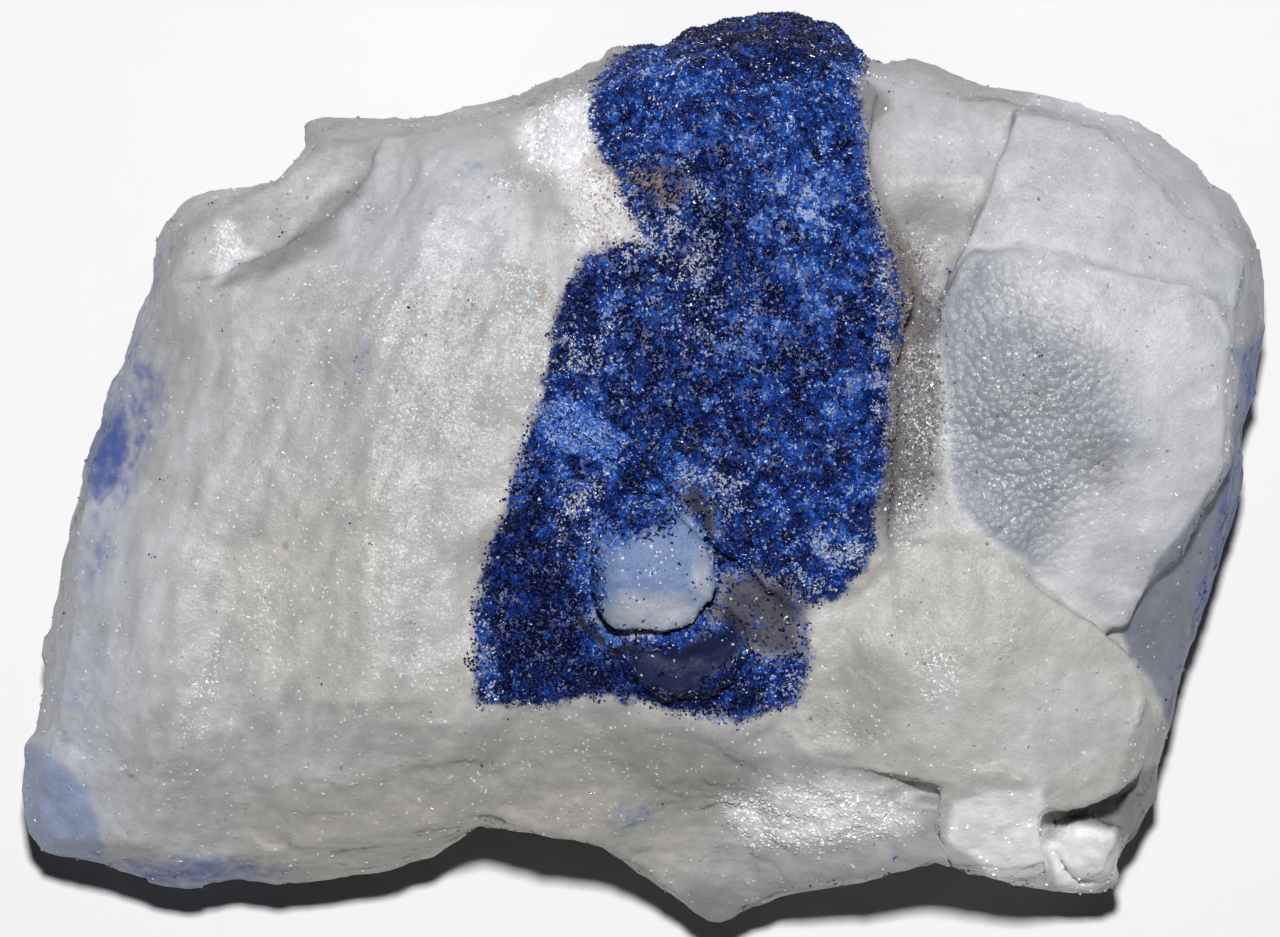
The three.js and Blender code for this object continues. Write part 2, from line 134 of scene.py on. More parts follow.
BRUISE = (
    (-4.4, 12.4), (-3.7, 13.1), (-2.5, 13.6), (-1.6, 13.4), (-1.5, 11.8), (-0.9, 10.4), (-0.4, 9.3),
    (0.1, 8.3), (-1.4, 7.9), (-2.3, 8.0), (-2.6, 9.9), (-3.3, 10.7), (-4.2, 11.0),
)
SHOULDER = (
    (-17.6, 9.5), (-15.0, 10.2), (-12.6, 11.4), (-12.2, 12.8), (-10.0, 12.5), (-9.7, 11.7), (-11.0, 9.5),
    (-13.0, 7.5), (-15.2, 6.9), (-16.9, 6.2), (-18.2, 6.5),
)
SHOULDER_GRAINS = (
    (-15.5, 9.0), (-14.9, 8.9), (-14.5, 8.1), (-14.0, 7.8), (-14.8, 7.3), (-15.6, 6.7), (-15.7, 7.3),
    (-15.5, 8.0),
)
PLATE = (
    (6.3, -6.4), (6.6, -4.9), (8.5, -3.4), (11.2, -2.0), (13.3, -3.1), (14.8, -4.0), (16.2, -4.9),
    (17.4, -6.1), (17.8, -6.9), (18.7, -7.8), (19.4, -9.2), (19.4, -9.9), (19.0, -10.8), (17.6, -11.8),
    (15.0, -13.1), (14.5, -11.9), (11.7, -12.0), (8.8, -11.8), (6.3, -10.4), (5.1, -9.5),
)
WEDGE = (
    (15.0, -13.1), (17.6, -11.8), (19.0, -11.0), (19.8, -11.4), (19.4, -13.2), (18.5, -13.9),
    (17.6, -13.5), (17.4, -13.3), (15.9, -13.1),
)
BLOCK = (
    (11.4, -12.3), (12.4, -12.0), (14.5, -11.8), (14.9, -12.7), (14.8, -13.1), (14.9, -15.4),
    (14.4, -15.8), (13.1, -15.3), (12.2, -14.3), (11.2, -13.7),
)
TOOTH = ((15.0, -13.9), (15.7, -13.2), (17.4, -13.4), (17.7, -14.8), (16.4, -16.0), (15.3, -15.4))
ROUGH = (
    (3.0, -12.2), (4.8, -11.7), (7.0, -11.5), (8.8, -12.0), (10.2, -13.0), (9.3, -13.4), (6.5, -13.9),
    (5.1, -13.9), (3.9, -13.7), (3.0, -13.0),
)
LOWER_BAND = (
    (-14.5, -16.5), (-14.6, -12.5), (-12.6, -11.6), (-8.5, -11.0), (-6.0, -9.9), (-3.0, -9.2),
    (0.0, -9.7), (2.2, -10.3), (3.8, -11.2), (2.9, -12.3), (2.2, -14.2), (0.3, -16.0), (-7.4, -16.5),
)
LEFT_BEVEL = (
    (-17.6, 8.6), (-18.2, 4.0), (-18.4, 0.0), (-18.6, -5.0), (-19.0, -10.0), (-19.4, -14.5),
    (-23.5, -14.5), (-23.5, -8.0), (-22.0, -2.0), (-20.0, 3.5),
)
LOW_CORNER = (
    (-23.5, -10.1), (-21.9, -10.4), (-20.4, -11.6), (-19.8, -13.6), (-19.5, -16.0), (-23.5, -15.0),
)
UPPER_BAND = (
    (-12.6, 13.4), (-9.6, 11.2), (-6.6, 11.6), (-4.6, 12.4), (-3.0, 13.6), (-1.2, 14.4), (-0.6, 16.4),
    (-4.0, 16.0), (-12.0, 14.6),
)
LIGHT_PATCH = (
    (-3.9, 2.1), (-3.0, 2.4), (-1.5, 1.9), (-0.5, 1.0), (-1.0, 0.1), (-2.1, 0.4), (-3.2, 0.6),
    (-3.8, 1.4),
)

# A painted face: its colour's name, its outline, how far its border is blurred, how strongly it
# shows, and how strongly a painted highlight lightens its thin edge, in place of light glowing through
# it
Face = namedtuple("Face", "colour outline blur strength glow", defaults=(0.0,))
FACES = (
    Face("cool", LEFT_BEVEL, 1.0, 0.8),
    Face("sky", LOW_CORNER, 0.25, 0.75),
    Face("dim_and_shade", UPPER_BAND, 0.7, 0.25),
    Face("dim_and_shade", SHOULDER, 0.6, 0.5),
    Face("beige", LOWER_BAND, 0.5, 0.85),
    # painted shade in the trough
    Face("dusk_and_shade", TROUGH, 0.3, 0.75),
    Face("warm", PLATE, 0.5, 0.9, 0.15),
    Face("dome", DOME, 0.12, 0.95, 0.3),
    Face("slab", SLAB, 0.12, 0.9, 0.3),
    Face("pale", SLAB_PALE_SIDE, 1.3, 0.95),
    # painted shade darkens the flank's blue grey for its steep side
    Face("flank", FLANK, 0.12, 0.95),
    Face("sky", CORNER, 0.2, 0.9),
    # painted shade in the hollow right of the vein
    Face("dim_and_shade", HOLLOW, 0.15, 0.9),
    Face("pale", LOBE, 0.3, 0.25),
    # painted shade in the notch
    Face("dusk_and_shade", NOTCH, 0.15, 0.75),
    Face("dusk_and_shade", BAND, 0.45, 0.95),
    Face("milk", BLOCK, 0.12, 0.95, 0.3),
    Face("milk", TOOTH, 0.12, 0.9, 0.3),
    Face("milk", ROUGH, 0.5, 0.65),
    # painted shade in the wedge below the plate
    Face("dusk_and_shade", WEDGE, 0.2, 0.8),
    Face("white", BRUISE, 0.5, 0.95),
    Face("white", SHOULDER_GRAINS, 0.25, 0.7),
    Face("dark", CLEAR_QUARTZ, 0.35, 1.0),
    Face("umber", BROWN_HOLLOW, 0.25, 0.95),
    Face("umber", STAINED_HOLLOW, 0.3, 0.9),
    Face("ice", LUMP, 0.12, 1.0),
    Face("inky", CHIP, 0.12, 1.0),
    # painted shadow below the lump, near black
    Face("gap", LUMP_SHADOW, 0.12, 1.0),
)

# Soft oval zones: each row is its middle's X and Y, its half width and half height, its turn in
# degrees and its strength
BEIGE_SPOTS = (
    (-9.5, -5.0, 7.5, 6.5, 0, 0.6),  # the left face, low down
    (-6.0, -13.4, 9.0, 2.0, 4, 0.6),  # the lower rim
    (0.3, -9.7, 5.5, 1.5, 0, 0.5),  # below the vein
)
PALE_AND_GLINT_SPOTS = (
    (-3.4, 4.0, 1.6, 6.0, 14, 0.3),  # the left face by the vein
    (-8.3, 9.2, 4.4, 3.0, 0, 0.6),  # the left face's top
    (-10.5, -5.0, 5.0, 6.0, -14, 0.08),  # the left face
    (9.5, 14.0, 1.2, 0.8, 0, 0.6),  # the upper rim right of the vein
    (11.2, 12.1, 2.6, 1.8, -30, 0.5),  # the facets above the hollow
    (11.0, -8.4, 1.0, 1.4, -30, 0.3),  # painted glints on the plate
    (15.5, -9.5, 3.4, 2.4, 20, 0.35),  # the plate's right end
    (16.6, -2.2, 1.6, 2.2, -20, 0.6),  # the slab's low side
    (0.4, -5.4, 1.8, 0.9, 0, 0.75),  # the lump's lower side
    (2.2, -4.0, 0.5, 1.0, 0, 0.6),  # the lump's right edge
    (-17.2, -2.0, 0.6, 7.0, -12, 0.4),  # a pale streak along the bevel
)
INDIGO_SPOTS = (
    (-19.6, 0.6, 0.9, 2.0, -12, 1.0),  # the left patch
    (-18.9, 1.6, 1.4, 3.6, -18, 0.55),  # the paler blue round it
    (-20.0, -2.8, 0.8, 2.2, -14, 0.35),  # and below it
    (-20.8, -8.3, 1.1, 2.4, -8, 0.25),  # the left rim
    (-16.7, -15.0, 4.4, 0.8, -2, 0.7),  # the lower left rim
    (-18.2, 6.2, 0.6, 2.8, -14, 0.4),  # the upper left rim
    (22.7, 3.0, 0.9, 2.3, -4, 0.65),  # the right corner
    (22.0, -1.2, 0.8, 3.4, -12, 0.75),  # the right flank's outer edge
    (21.3, -3.8, 0.8, 2.6, -16, 0.8),  # and lower
    (20.4, -7.2, 0.8, 2.6, -16, 0.5),  # the right flank, low down
    (22.0, 5.8, 0.9, 1.8, 0, 0.22),  # the dome's lower right corner
    (-0.6, -1.7, 1.8, 1.0, 20, 0.75),  # the top of the pale lump
    (-1.7, -3.6, 0.5, 1.2, 0, 0.5),  # its left side
    (16.0, 2.0, 0.9, 1.4, 40, 0.1),  # a hollow in the slab
)
# Darker grey quartz; the trough, the hollow and the crease spots are painted shade
DUSK_AND_SHADE_SPOTS = (
    (14.3, 2.4, 1.9, 1.1, -10, 0.25),  # hollows in the slab
    (16.6, 0.4, 1.0, 1.4, 30, 0.3),  # one more
    (-11.5, 9.0, 2.4, 0.7, 46, 0.5),  # painted shade in the trough
    (9.3, -0.4, 1.4, 2.4, 0, 0.8),  # the band by the vein, low down
    (10.6, 8.9, 1.4, 0.9, 0, 0.3),  # painted shade in the hollow right of the vein
    (7.2, -9.2, 2.0, 1.2, -35, 0.3),  # painted shade in the crease left of the plate
    (8.1, -7.7, 1.8, 1.3, -35, 0.38),  # and higher up, the same painted shade
    (12.0, -5.6, 3.0, 1.6, -25, 0.15),  # the plate's middle
    (2.7, -16.1, 1.3, 1.0, 0, 0.55),  # the tip
    (6.5, -15.2, 3.5, 0.5, 10, 0.3),  # the rim right of the tip
    (-5.0, -11.0, 3.2, 1.2, 8, 0.22),  # the lower band
    (1.0, -10.5, 4.4, 1.5, -6, 0.4),  # below the vein
)
OCHRE_SPOTS = (
    (-1.3, 9.7, 0.8, 2.0, 10, 0.8),  # by the vein's top
    (0.5, 10.4, 1.3, 0.9, 0, 0.9),  # in the vein's top
    (-3.1, 4.5, 0.4, 2.8, 14, 0.7),  # left of the vein
    (9.4, 6.2, 0.7, 2.2, 0, 0.4),  # right of the vein
    (-13.0, -2.9, 0.14, 0.16, 0, 1.0),  # one rust dot on the left face
)
SKY_SPOTS = (
    (-0.3, -12.9, 0.9, 0.5, 20, 0.8),  # a light blue stain on the lower band
    (-10.1, 3.9, 0.25, 0.7, -20, 0.6),  # light blue grains on the left face
    (-6.1, 11.0, 0.3, 0.25, 0, 0.6),  # and higher up
    (10.9, -7.0, 0.3, 0.5, 0, 0.3),  # on the plate
)
GRIT_SPOTS = (
    (0.9, 10.2, 1.5, 1.1, 0, 0.55),  # stained grains in the vein
    (0.8, 7.9, 2.2, 1.4, -24, 0.6),  # white grains
    (-1.9, 4.0, 1.2, 1.5, 0, 0.5),  # grey grains
    (2.4, 5.6, 2.4, 2.2, 0, 0.15),  # the middle
    (9.1, 6.4, 0.6, 5.2, -4, 0.6),  # the right edge
    (8.1, 13.9, 0.6, 1.8, -10, 0.3),  # the top of the right edge
    (2.6, -0.8, 1.6, 1.2, 0, 0.5),  # by the lump
    (-1.9, -2.0, 1.3, 1.5, 0, 0.5),  # left of the lump
    (-5.6, -6.9, 0.3, 1.6, 4, 0.5),  # the lower left border
    (5.6, -8.2, 1.6, 0.9, 0, 0.35),  # the foot, right
    (7.2, -3.6, 1.7, 1.5, 0, 0.5),  # the lower right corner
    (4.0, -5.6, 1.2, 1.2, 0, 0.4),  # the clear quartz
)
BRIGHT_SPOTS = (
    (2.4, 13.0, 4.0, 2.2, -8, 0.6),  # upper left
    (6.3, 8.6, 1.9, 4.0, 6, 0.65),  # middle right
    (-5.6, -6.9, 0.35, 1.7, 4, 0.9),  # the lower left border
    (7.7, 1.7, 1.1, 4.4, 0, 0.2),  # right
    (-2.3, -3.9, 0.5, 1.1, 0, 0.9),  # the wing left of the lump
    (7.6, -3.6, 1.3, 1.2, 0, 1.0),  # the lower right corner
    (-2.4, 3.2, 0.8, 0.8, 0, 0.2),  # above the light patch
)
DEEP_SPOTS = (
    (-3.9, -4.9, 1.9, 3.6, 10, 1.0),  # lower left
    (0.4, -7.9, 5.0, 1.1, 0, 1.0),  # the foot of the vein
    (-2.6, 5.2, 1.1, 2.2, 0, 0.5),  # left
    (4.6, 16.0, 4.4, 1.6, 0, 0.8),  # the top rim
    (2.8, 7.2, 2.4, 1.9, 0, 0.55),  # middle
    (1.9, 2.6, 2.0, 2.0, 0, 0.25),  # lower middle
    (7.4, 4.4, 1.3, 3.6, 0, 0.15),  # middle right
    (5.6, -1.6, 1.6, 1.6, 0, 0.15),  # lower right
    (0.8, 10.0, 1.4, 1.4, 0, 0.3),  # under the stained grains
)
SUGAR_SPOTS = (
    (-4.2, 6.1, 1.1, 1.4, 16, 1.0),  # wet-looking glints by the vein
    (-3.9, 3.4, 1.0, 5.4, 16, 0.7),  # along it
    (-4.6, 10.6, 1.2, 0.6, 0, 0.9),  # and higher up
    (-10.0, 9.0, 0.5, 0.9, -20, 0.9),  # by the trough's ridge
    (-11.1, 6.8, 1.2, 0.6, 22, 0.8),  # below it
    (-15.1, 8.0, 0.6, 1.1, 0, 1.0),  # the white grains on the shoulder
    (-8.0, 4.0, 4.5, 5.0, 0, 0.5),  # the left face
    (-10.5, -4.5, 5.0, 7.5, -16, 0.4),  # and lower
    (-16.3, -9.4, 0.55, 3.4, -16, 1.0),  # the string of glints, low on the left face
    (-3.0, -11.5, 8.0, 2.0, 3, 0.45),  # the lower band
    (6.4, -12.8, 3.8, 1.4, -4, 0.6),  # the rough patch
    (13.8, 1.8, 3.0, 4.6, 8, 0.5),  # the slab's pebbled half
    (9.7, 2.5, 1.2, 5.8, -4, 1.0),  # the band by the vein
    (10.6, -7.8, 0.8, 1.5, -24, 1.0),  # glints on the plate
    (8.2, -9.6, 1.0, 0.6, -30, 0.9),  # and lower
    (-1.5, 10.4, 1.6, 2.6, 0, 0.6),  # the white bruise
    (0.5, -4.0, 2.4, 2.4, 0, 0.5),  # the lump
    (13.0, -13.4, 1.6, 1.6, 0, 0.5),  # the block
)
PEBBLE_SPOTS = (
    (13.8, 2.0, 3.8, 5.4, 8, 0.9),  # the slab's pebbled half
    (13.6, -2.6, 2.4, 1.7, -20, 0.8),  # and its low side
)
CROWN_SPOTS = (
    (-0.4, -1.7, 2.0, 1.1, 20, 0.85),  # crystals over the top of the pale lump
    (-2.0, -4.0, 0.7, 1.6, 0, 0.8),  # and its left side
)
LEDGE_SPOTS = ((1.9, -5.9, 1.6, 0.7, 12, 1.0),)  # rock that joins the lump to the chip below it
# Where the rough patch climbs to the block: its outline, a point on the block's left edge, how the
# ground rises towards that edge along X and Y, how far from the edge it is at full strength, how
# far past the edge it reaches, and how wide its border is
CLIMB = ((8.4, -11.9), (11.3, -11.9), (11.3, -15.0), (10.0, -14.9), (8.4, -13.8))
CLIMB_EDGE = (11.2, -13.0, 10.95)
CLIMB_SLOPE = (0.43, 0.72)
CLIMB_CORE = 0.7
CLIMB_OVERLAP = 0.15
CLIMB_BLUR = 0.6
STREAK_SPOTS = (
    (-12.5, -1.0, 9.0, 14.0, -22, 1.0),  # the left face and its bevel
    (12.2, -8.6, 6.0, 4.0, -30, 0.35),  # the plate
)
SMOOTH_SPOTS = (
    (18.0, 9.5, 4.5, 4.5, 0, 1.0),  # the dome
    (18.5, 2.0, 3.5, 5.0, 0, 0.9),  # the slab's right half
    (-12.5, -2.0, 8.0, 11.0, -14, 0.75),  # the left face
    (12.5, -8.0, 6.0, 4.5, 0, 0.7),  # the plate
    (0.6, -4.2, 2.0, 2.0, 0, 0.3),  # the lump
    (14.0, 1.0, 4.0, 6.0, 0, 0.8),  # the slab
    (10.5, 11.0, 2.5, 2.5, 0, 0.6),  # the facets right of the vein
)
# Stains by the name of their colour, and the zones that other parts of the script read
STAINS = {"beige": BEIGE_SPOTS, "pale": PALE_AND_GLINT_SPOTS, "dusk_and_shade": DUSK_AND_SHADE_SPOTS, "sky": SKY_SPOTS}
STAINS_UNDER = ("beige", "pale")  # those painted before the faces
STAINS_OVER = ("pale", "dusk_and_shade", "sky")  # and those painted after them
ZONES = {
    "indigo": INDIGO_SPOTS, "ochre": OCHRE_SPOTS, "grit": GRIT_SPOTS, "bright": BRIGHT_SPOTS,
    "deep": DEEP_SPOTS, "sugar": SUGAR_SPOTS, "pebble": PEBBLE_SPOTS, "streak": STREAK_SPOTS,
    "smooth": SMOOTH_SPOTS,
}
FALL_OFF = 1.0  # how fast the octaves of soft noise grow weaker
FINER = 2.1  # how much finer each octave is than the one before
FACET_KEY = 7.31  # an odd factor that gives each facet a random tilt of its own
CELL_KEY = 5.17  # and one that gives each cell a random number of its own
SPOT_CORE = 0.45  # share of a spot's radius where it is at full strength
SPOT_REACH = 1.4  # and where it has gone
STREAK_LEAN = math.radians(-22)  # how far the left face's streaks lean over from upright
EDGE_WIDTH = 0.16  # how far the painted edge highlight reaches into a face, in millimetres
SOFT_BLUR = 0.32  # a face blurred more than this has a ragged border, in millimetres
RAGGED = 0.22  # how far noise moves a ragged border
CRISP = 0.066  # and a crisp one
BROKEN = 0.3  # and the border of the lump, the chip and the painted shadow below the lump

# Where the vein shows stone instead of crystals: the outline, how far its border is blurred to the
# outside and the inside, how far noise moves it, and what share of the crystals is gone
Window = namedtuple("Window", "outline outwards inwards ragged share")
WINDOWS = (
    Window(CLEAR_QUARTZ, 0.5, 0.3, RAGGED, 0.9),
    Window(BROWN_HOLLOW, 0.2, 0.2, RAGGED, 0.7),
    Window(STAINED_HOLLOW, 0.3, 0.3, RAGGED, 0.35),
    Window(LUMP, 0.0, 0.2, BROKEN, 0.985),
    Window(CHIP, 0.0, 0.2, BROKEN, 1.0),
    # no crystals in the painted shadow below the lump
    Window(LUMP_SHADOW, 0.0, 0.2, BROKEN, 1.0),
)

# How much each kind of noise changes the quartz's colour, as a share
BROAD_CHANGE = 0.5  # broad clouds, in the under stains and on the sides
MOTTLE_CHANGE = 0.13
STREAK_CHANGE = 0.18
# How strongly the painted shade on faces that point down, the blue and the rust cover it
UNDERSIDE_SHADE_COVER = 0.75
BLUE_COVER = 0.95
RUST_COVER = 0.75

# How the relief's noise is shared out: the calm left on smooth faces, the broad facets against the
# chips, and the extra small facets in the vein
SMOOTHED = 0.8
BROAD_FACETS = 1.5
VEIN_FACETS = 1.6

# A layer of blue crystals: its piece, its seed, its middle tone, its crystals' size against the
# usual one, and how far they stand up, in degrees
Layer = namedtuple("Layer", "piece seed tone size lift")
LAYERS = (
    Layer("dumortierite_low", 21, 0.27, 1.1, 12),
    Layer("dumortierite_middle", 22, 0.34, 0.85, 24),
    Layer("dumortierite_top", 23, 0.41, 0.65, 34),
)
# What makes crystals lighter or darker than their layer's tone: clouds by strength, size, octaves
# and seed, cells by strength, size and seed, and zones by strength
TONE_CLOUDS = ((0.3, 1.6, 3, 9.0), (0.32, 0.45, 2, 11.0))
TONE_CELLS = ((0.22, 0.5, 2.0), (0.24, 0.24, 7.0))
TONE_ZONES = {"bright": 0.24, "deep": -0.34}
PATCH_TONE = 0.6  # the tone that the light patch is drawn towards
PATCH_SHARE = 0.85  # and how strongly
TONE_SPREAD = 0.09  # how much crystals side by side differ
PAINTED_GLINT_SHARE = 0.045  # share of the crystals painted lighter as glints
PAINTED_GLINT_TONE = 0.5  # and how much lighter they are painted
LENGTHS = (0.5, 1.4)  # shortest and longest crystal, against the usual one
WIDTHS = (0.6, 1.4)  # and the narrowest and widest
THICKNESSES = (0.6, 1.0)  # a crystal's thickness against its width
THINNED = 0.5  # share of the crystals that the gritty zones lose
SPECKS = 0.1  # density of the loose blue specks on the quartz, against the vein's crystals
RAISED = 0.02  # how high the crystals' middles lie over the rock, in millimetres

# A bed of pale grains: its piece, its seed, its grains' size against the usual one, and their tone
Bed = namedtuple("Bed", "piece seed size tone")
GRIT_BED = Bed("vein_grit", 31, 0.8, 0.52)
SUGAR_BED = Bed("quartz_sugar", 32, 0.9, 0.45)
GRAIN_SIZES = (0.45, 1.3)  # smallest and largest grain, against the usual one
GRAIN_SPREAD = 0.2  # how much the tones of grains side by side differ
GRAIN_BLUE = 0.6  # how blue the grains are in the vein
PLAIN_GRIT = 0.06  # density of the grit outside the gritty zones
PLAIN_SUGAR = 0.03  # density of the sugar outside the rough faces

# Sizes in the quartz's shader, in millimetres, and its clouds and clumps, in lumps a millimetre
FINE_GRAIN = 0.075
ROUND_GRAIN = 0.3
VEIN_BREAK = 0.5  # lumps in the border of the vein's blue ground
CLOUDS = 2.2
CLUMPS = 1.1
PLAIN_PAINTED_GLINTS = 0.008  # share of the fine grains painted as glints
SUGAR_PAINTED_GLINTS = 0.09  # and how many more in the sugary zones
PAINTED_GLINT_LIMIT = 0.9995  # the random shade that a grain has to pass to be painted as a glint, less its share
PAINTED_GLINT_COVER = 0.8  # how strongly a painted glint covers the quartz's colour
QUARTZ_IOR = 1.54
CRYSTAL_IOR = 1.6

SENSOR_WIDTH = 36.0  # the camera's, in millimetres
VIEW_MIDDLE = (-0.04 * MM, -0.06 * MM)  # what the camera stands over
FLOOR_WIDTH = 6.0  # in metres
BACKDROP = 0.9  # how bright the surroundings are to the camera itself


# Zones on the rock


def smooth_step(values, low, high):
    share = np.clip((values - low) / (high - low), 0, 1)
    return share * share * (3 - 2 * share)


def zone_strength(points, spots):
    """How strongly soft oval spots cover points, from 0 to 1."""
    covered = np.zeros(len(points))
    for x, y, across, up, degrees, strength in spots:
        turn = math.radians(degrees)
        dx = points[:, 0] - x
        dy = points[:, 1] - y
        along = (dx * math.cos(turn) + dy * math.sin(turn)) / across
        upright = (dy * math.cos(turn) - dx * math.sin(turn)) / up
        cover = 1 - smooth_step(np.hypot(along, upright), SPOT_CORE, SPOT_REACH)
        covered = np.maximum(covered, cover * strength)
    return covered


def depth_inside(points, outline):
    """Millimetres that points lie inside an outline seen from above, negative outside it."""
    nearest = np.full(len(points), 1e9)
    inside = np.zeros(len(points), bool)
    x, y = points[:, 0], points[:, 1]
    for (x1, y1), (x2, y2) in zip(outline, outline[1:] + outline[:1]):
        edge = np.array([x2 - x1, y2 - y1])
        along = ((x - x1) * edge[0] + (y - y1) * edge[1]) / (edge @ edge)
        along = np.clip(along, 0, 1)
        gap = np.hypot(x - x1 - along * edge[0], y - y1 - along * edge[1])
        nearest = np.minimum(nearest, gap)
        crosses = (y1 > y) != (y2 > y)
        if y1 != y2:
            inside ^= crosses & (x < x1 + (y - y1) * (x2 - x1) / (y2 - y1))
    return np.where(inside, nearest, -nearest)


def cloud_at(points, size, octaves, seed):
    """Soft noise between about -1 and 1 at points, with lumps of the given size."""
    shift = Vector((seed, 2.3 * seed, -1.7 * seed))
    values = [noise.fractal(Vector(p) / size + shift, FALL_OFF, FINER, octaves) for p in points]
    return np.array(values)


def facets_at(points, size, seed):
    """Heights of small tilted facets, one to a cell of the given size, in shares of that size."""
    shift = Vector((seed, -1.3 * seed, 0.7 * seed))
    heights = np.zeros(len(points))
    for i, point in enumerate(points):
        place = Vector(point) / size + shift
        middle = noise.voronoi(place)[1][0]
        heights[i] = (place - middle).dot(noise.cell_vector(middle * FACET_KEY) - Vector((0.5,) * 3))
    return heights


def cells_at(points, size, seed):
    """A number between -1 and 1 that is the same all over each cell of the given size."""
    shift = Vector((seed, 1.1 * seed, -0.9 * seed))
    middles = [noise.voronoi(Vector(p) / size + shift)[1][0] for p in points]
    return np.array([noise.cell(middle * CELL_KEY) for middle in middles])


def pebbles_at(points, size, seed):
    """Heights of small rounded bumps, in shares of their size."""
    shift = Vector((seed, 1.9 * seed, 0.4 * seed))
    gaps = np.array([noise.voronoi(Vector(p) / size + shift)[0][0] for p in points])
    return np.sqrt(np.clip(1 - 1.4 * gaps * gaps, 0, 1)) - 0.7


# Meshes


def select_only(piece):
    bpy.ops.object.select_all(action="DESELECT")
    piece.select_set(True)
    bpy.context.view_layer.objects.active = piece


def points_of(piece):
    points = np.zeros(len(piece.data.vertices) * 3)
    piece.data.vertices.foreach_get("co", points)
    return points.reshape(-1, 3)


def normals_of(piece):
    normals = np.zeros(len(piece.data.vertices) * 3)
    piece.data.vertices.foreach_get("normal", normals)
    return normals.reshape(-1, 3)


def move_points(piece, points):
    piece.data.vertices.foreach_set("co", points.astype(np.float32).ravel())
    piece.data.update()


def store(piece, name, values):
    """Keeps a number for each point, for the materials and the scattered grains to read."""
    layer = piece.data.attributes.new(name, "FLOAT", "POINT")
    layer.data.foreach_set("value", values.astype(np.float32))


def stored(piece, name):
    values = np.zeros(len(piece.data.vertices))
    piece.data.attributes[name].data.foreach_get("value", values)
    return values


def store_tint(piece, tints):
    """Keeps a colour for each point."""
    colours = np.ones((len(tints), 4), np.float32)
    colours[:, :3] = tints
    layer = piece.data.attributes.new("tint", "FLOAT_COLOR", "POINT")
    layer.data.foreach_set("color", colours.ravel())


def stored_tint(piece):
    colours = np.zeros(len(piece.data.vertices) * 4, np.float32)
    piece.data.attributes["tint"].data.foreach_get("color", colours)
    return colours.reshape(-1, 4)[:, :3]


def finish_piece(piece, material):
    piece.data.materials.clear()
    piece.data.materials.append(material)
    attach(piece, BODY)


def copy_rock(name):
    """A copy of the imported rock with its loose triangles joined."""
    select_only(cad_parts[ROCK_NODE])
    bpy.ops.object.duplicate()
    piece = bpy.context.object
    piece.parent = None
    piece.name = name
    piece.data.name = name
    for key in list(piece.keys()):
        del piece[key]
    bpy.ops.object.mode_set(mode="EDIT")
    bpy.ops.mesh.select_all(action="SELECT")
    bpy.ops.mesh.remove_doubles(threshold=0.002 * MM)
    bpy.ops.object.mode_set(mode="OBJECT")
    return piece


def even_mesh(piece, quartz):
    """Gives the rock small even faces above, and larger ones where it faces down."""
    select_only(piece)
    remesh = piece.modifiers.new("even mesh", "REMESH")
    remesh.mode = "VOXEL"
    remesh.voxel_size = quartz.mesh_size
    bpy.ops.object.modifier_apply(modifier=remesh.name)
    smooth = piece.modifiers.new("worn edges", "SMOOTH")
    smooth.factor = 0.5
    smooth.iterations = quartz.wear
    bpy.ops.object.modifier_apply(modifier=smooth.name)
    under = piece.vertex_groups.new(name="underside")
    facing_down = np.nonzero(normals_of(piece)[:, 2] < 0)[0]
    under.add(facing_down.tolist(), 1.0, "REPLACE")
    thin = piece.modifiers.new("coarser underside", "DECIMATE")
    thin.ratio = quartz.kept
    thin.vertex_group = under.name
    bpy.ops.object.modifier_apply(modifier=thin.name)
    piece.vertex_groups.clear()


def along_streaks(points, quartz):
    """Points turned so that the left face's streaks run along Y, and drawn together that way."""
    cos, sin = math.cos(STREAK_LEAN), math.sin(STREAK_LEAN)
    turned = points.copy()
    turned[:, 0] = points[:, 0] * cos + points[:, 1] * sin
    turned[:, 1] = (points[:, 1] * cos - points[:, 0] * sin) / quartz.streak_stretch
    return turned


def wash(tints, share, colour):
    """Blends a colour into the points' colours, by each point's share."""
    tints += share[:, None] * (np.array(colour) - tints)


def window_at(points, wander):
    """What share of the vein's crystals is gone at points, from 0 to 1."""
    gone = np.zeros(len(points))
    for window in WINDOWS:
        depth = depth_inside(points + window.ragged * wander, window.outline)
        share = window.share * smooth_step(depth, -window.outwards, window.inwards)
        if window.outline is LUMP:
            share *= 1 - zone_strength(points + RAGGED * wander, CROWN_SPOTS)
        gone = np.maximum(gone, share)
    return gone


def store_zones(piece, points):
    """Keeps each zone's strength, and the depth in the vein, for the materials and the grains."""
    for name, spots in ZONES.items():
        strength = zone_strength(points, spots)
        if name == "pebble":
            strength *= smooth_step(depth_inside(points, SLAB), 0.0, 0.5)
        store(piece, name, strength)
    store(piece, "vein", depth_inside(points, VEIN_OUTLINE))


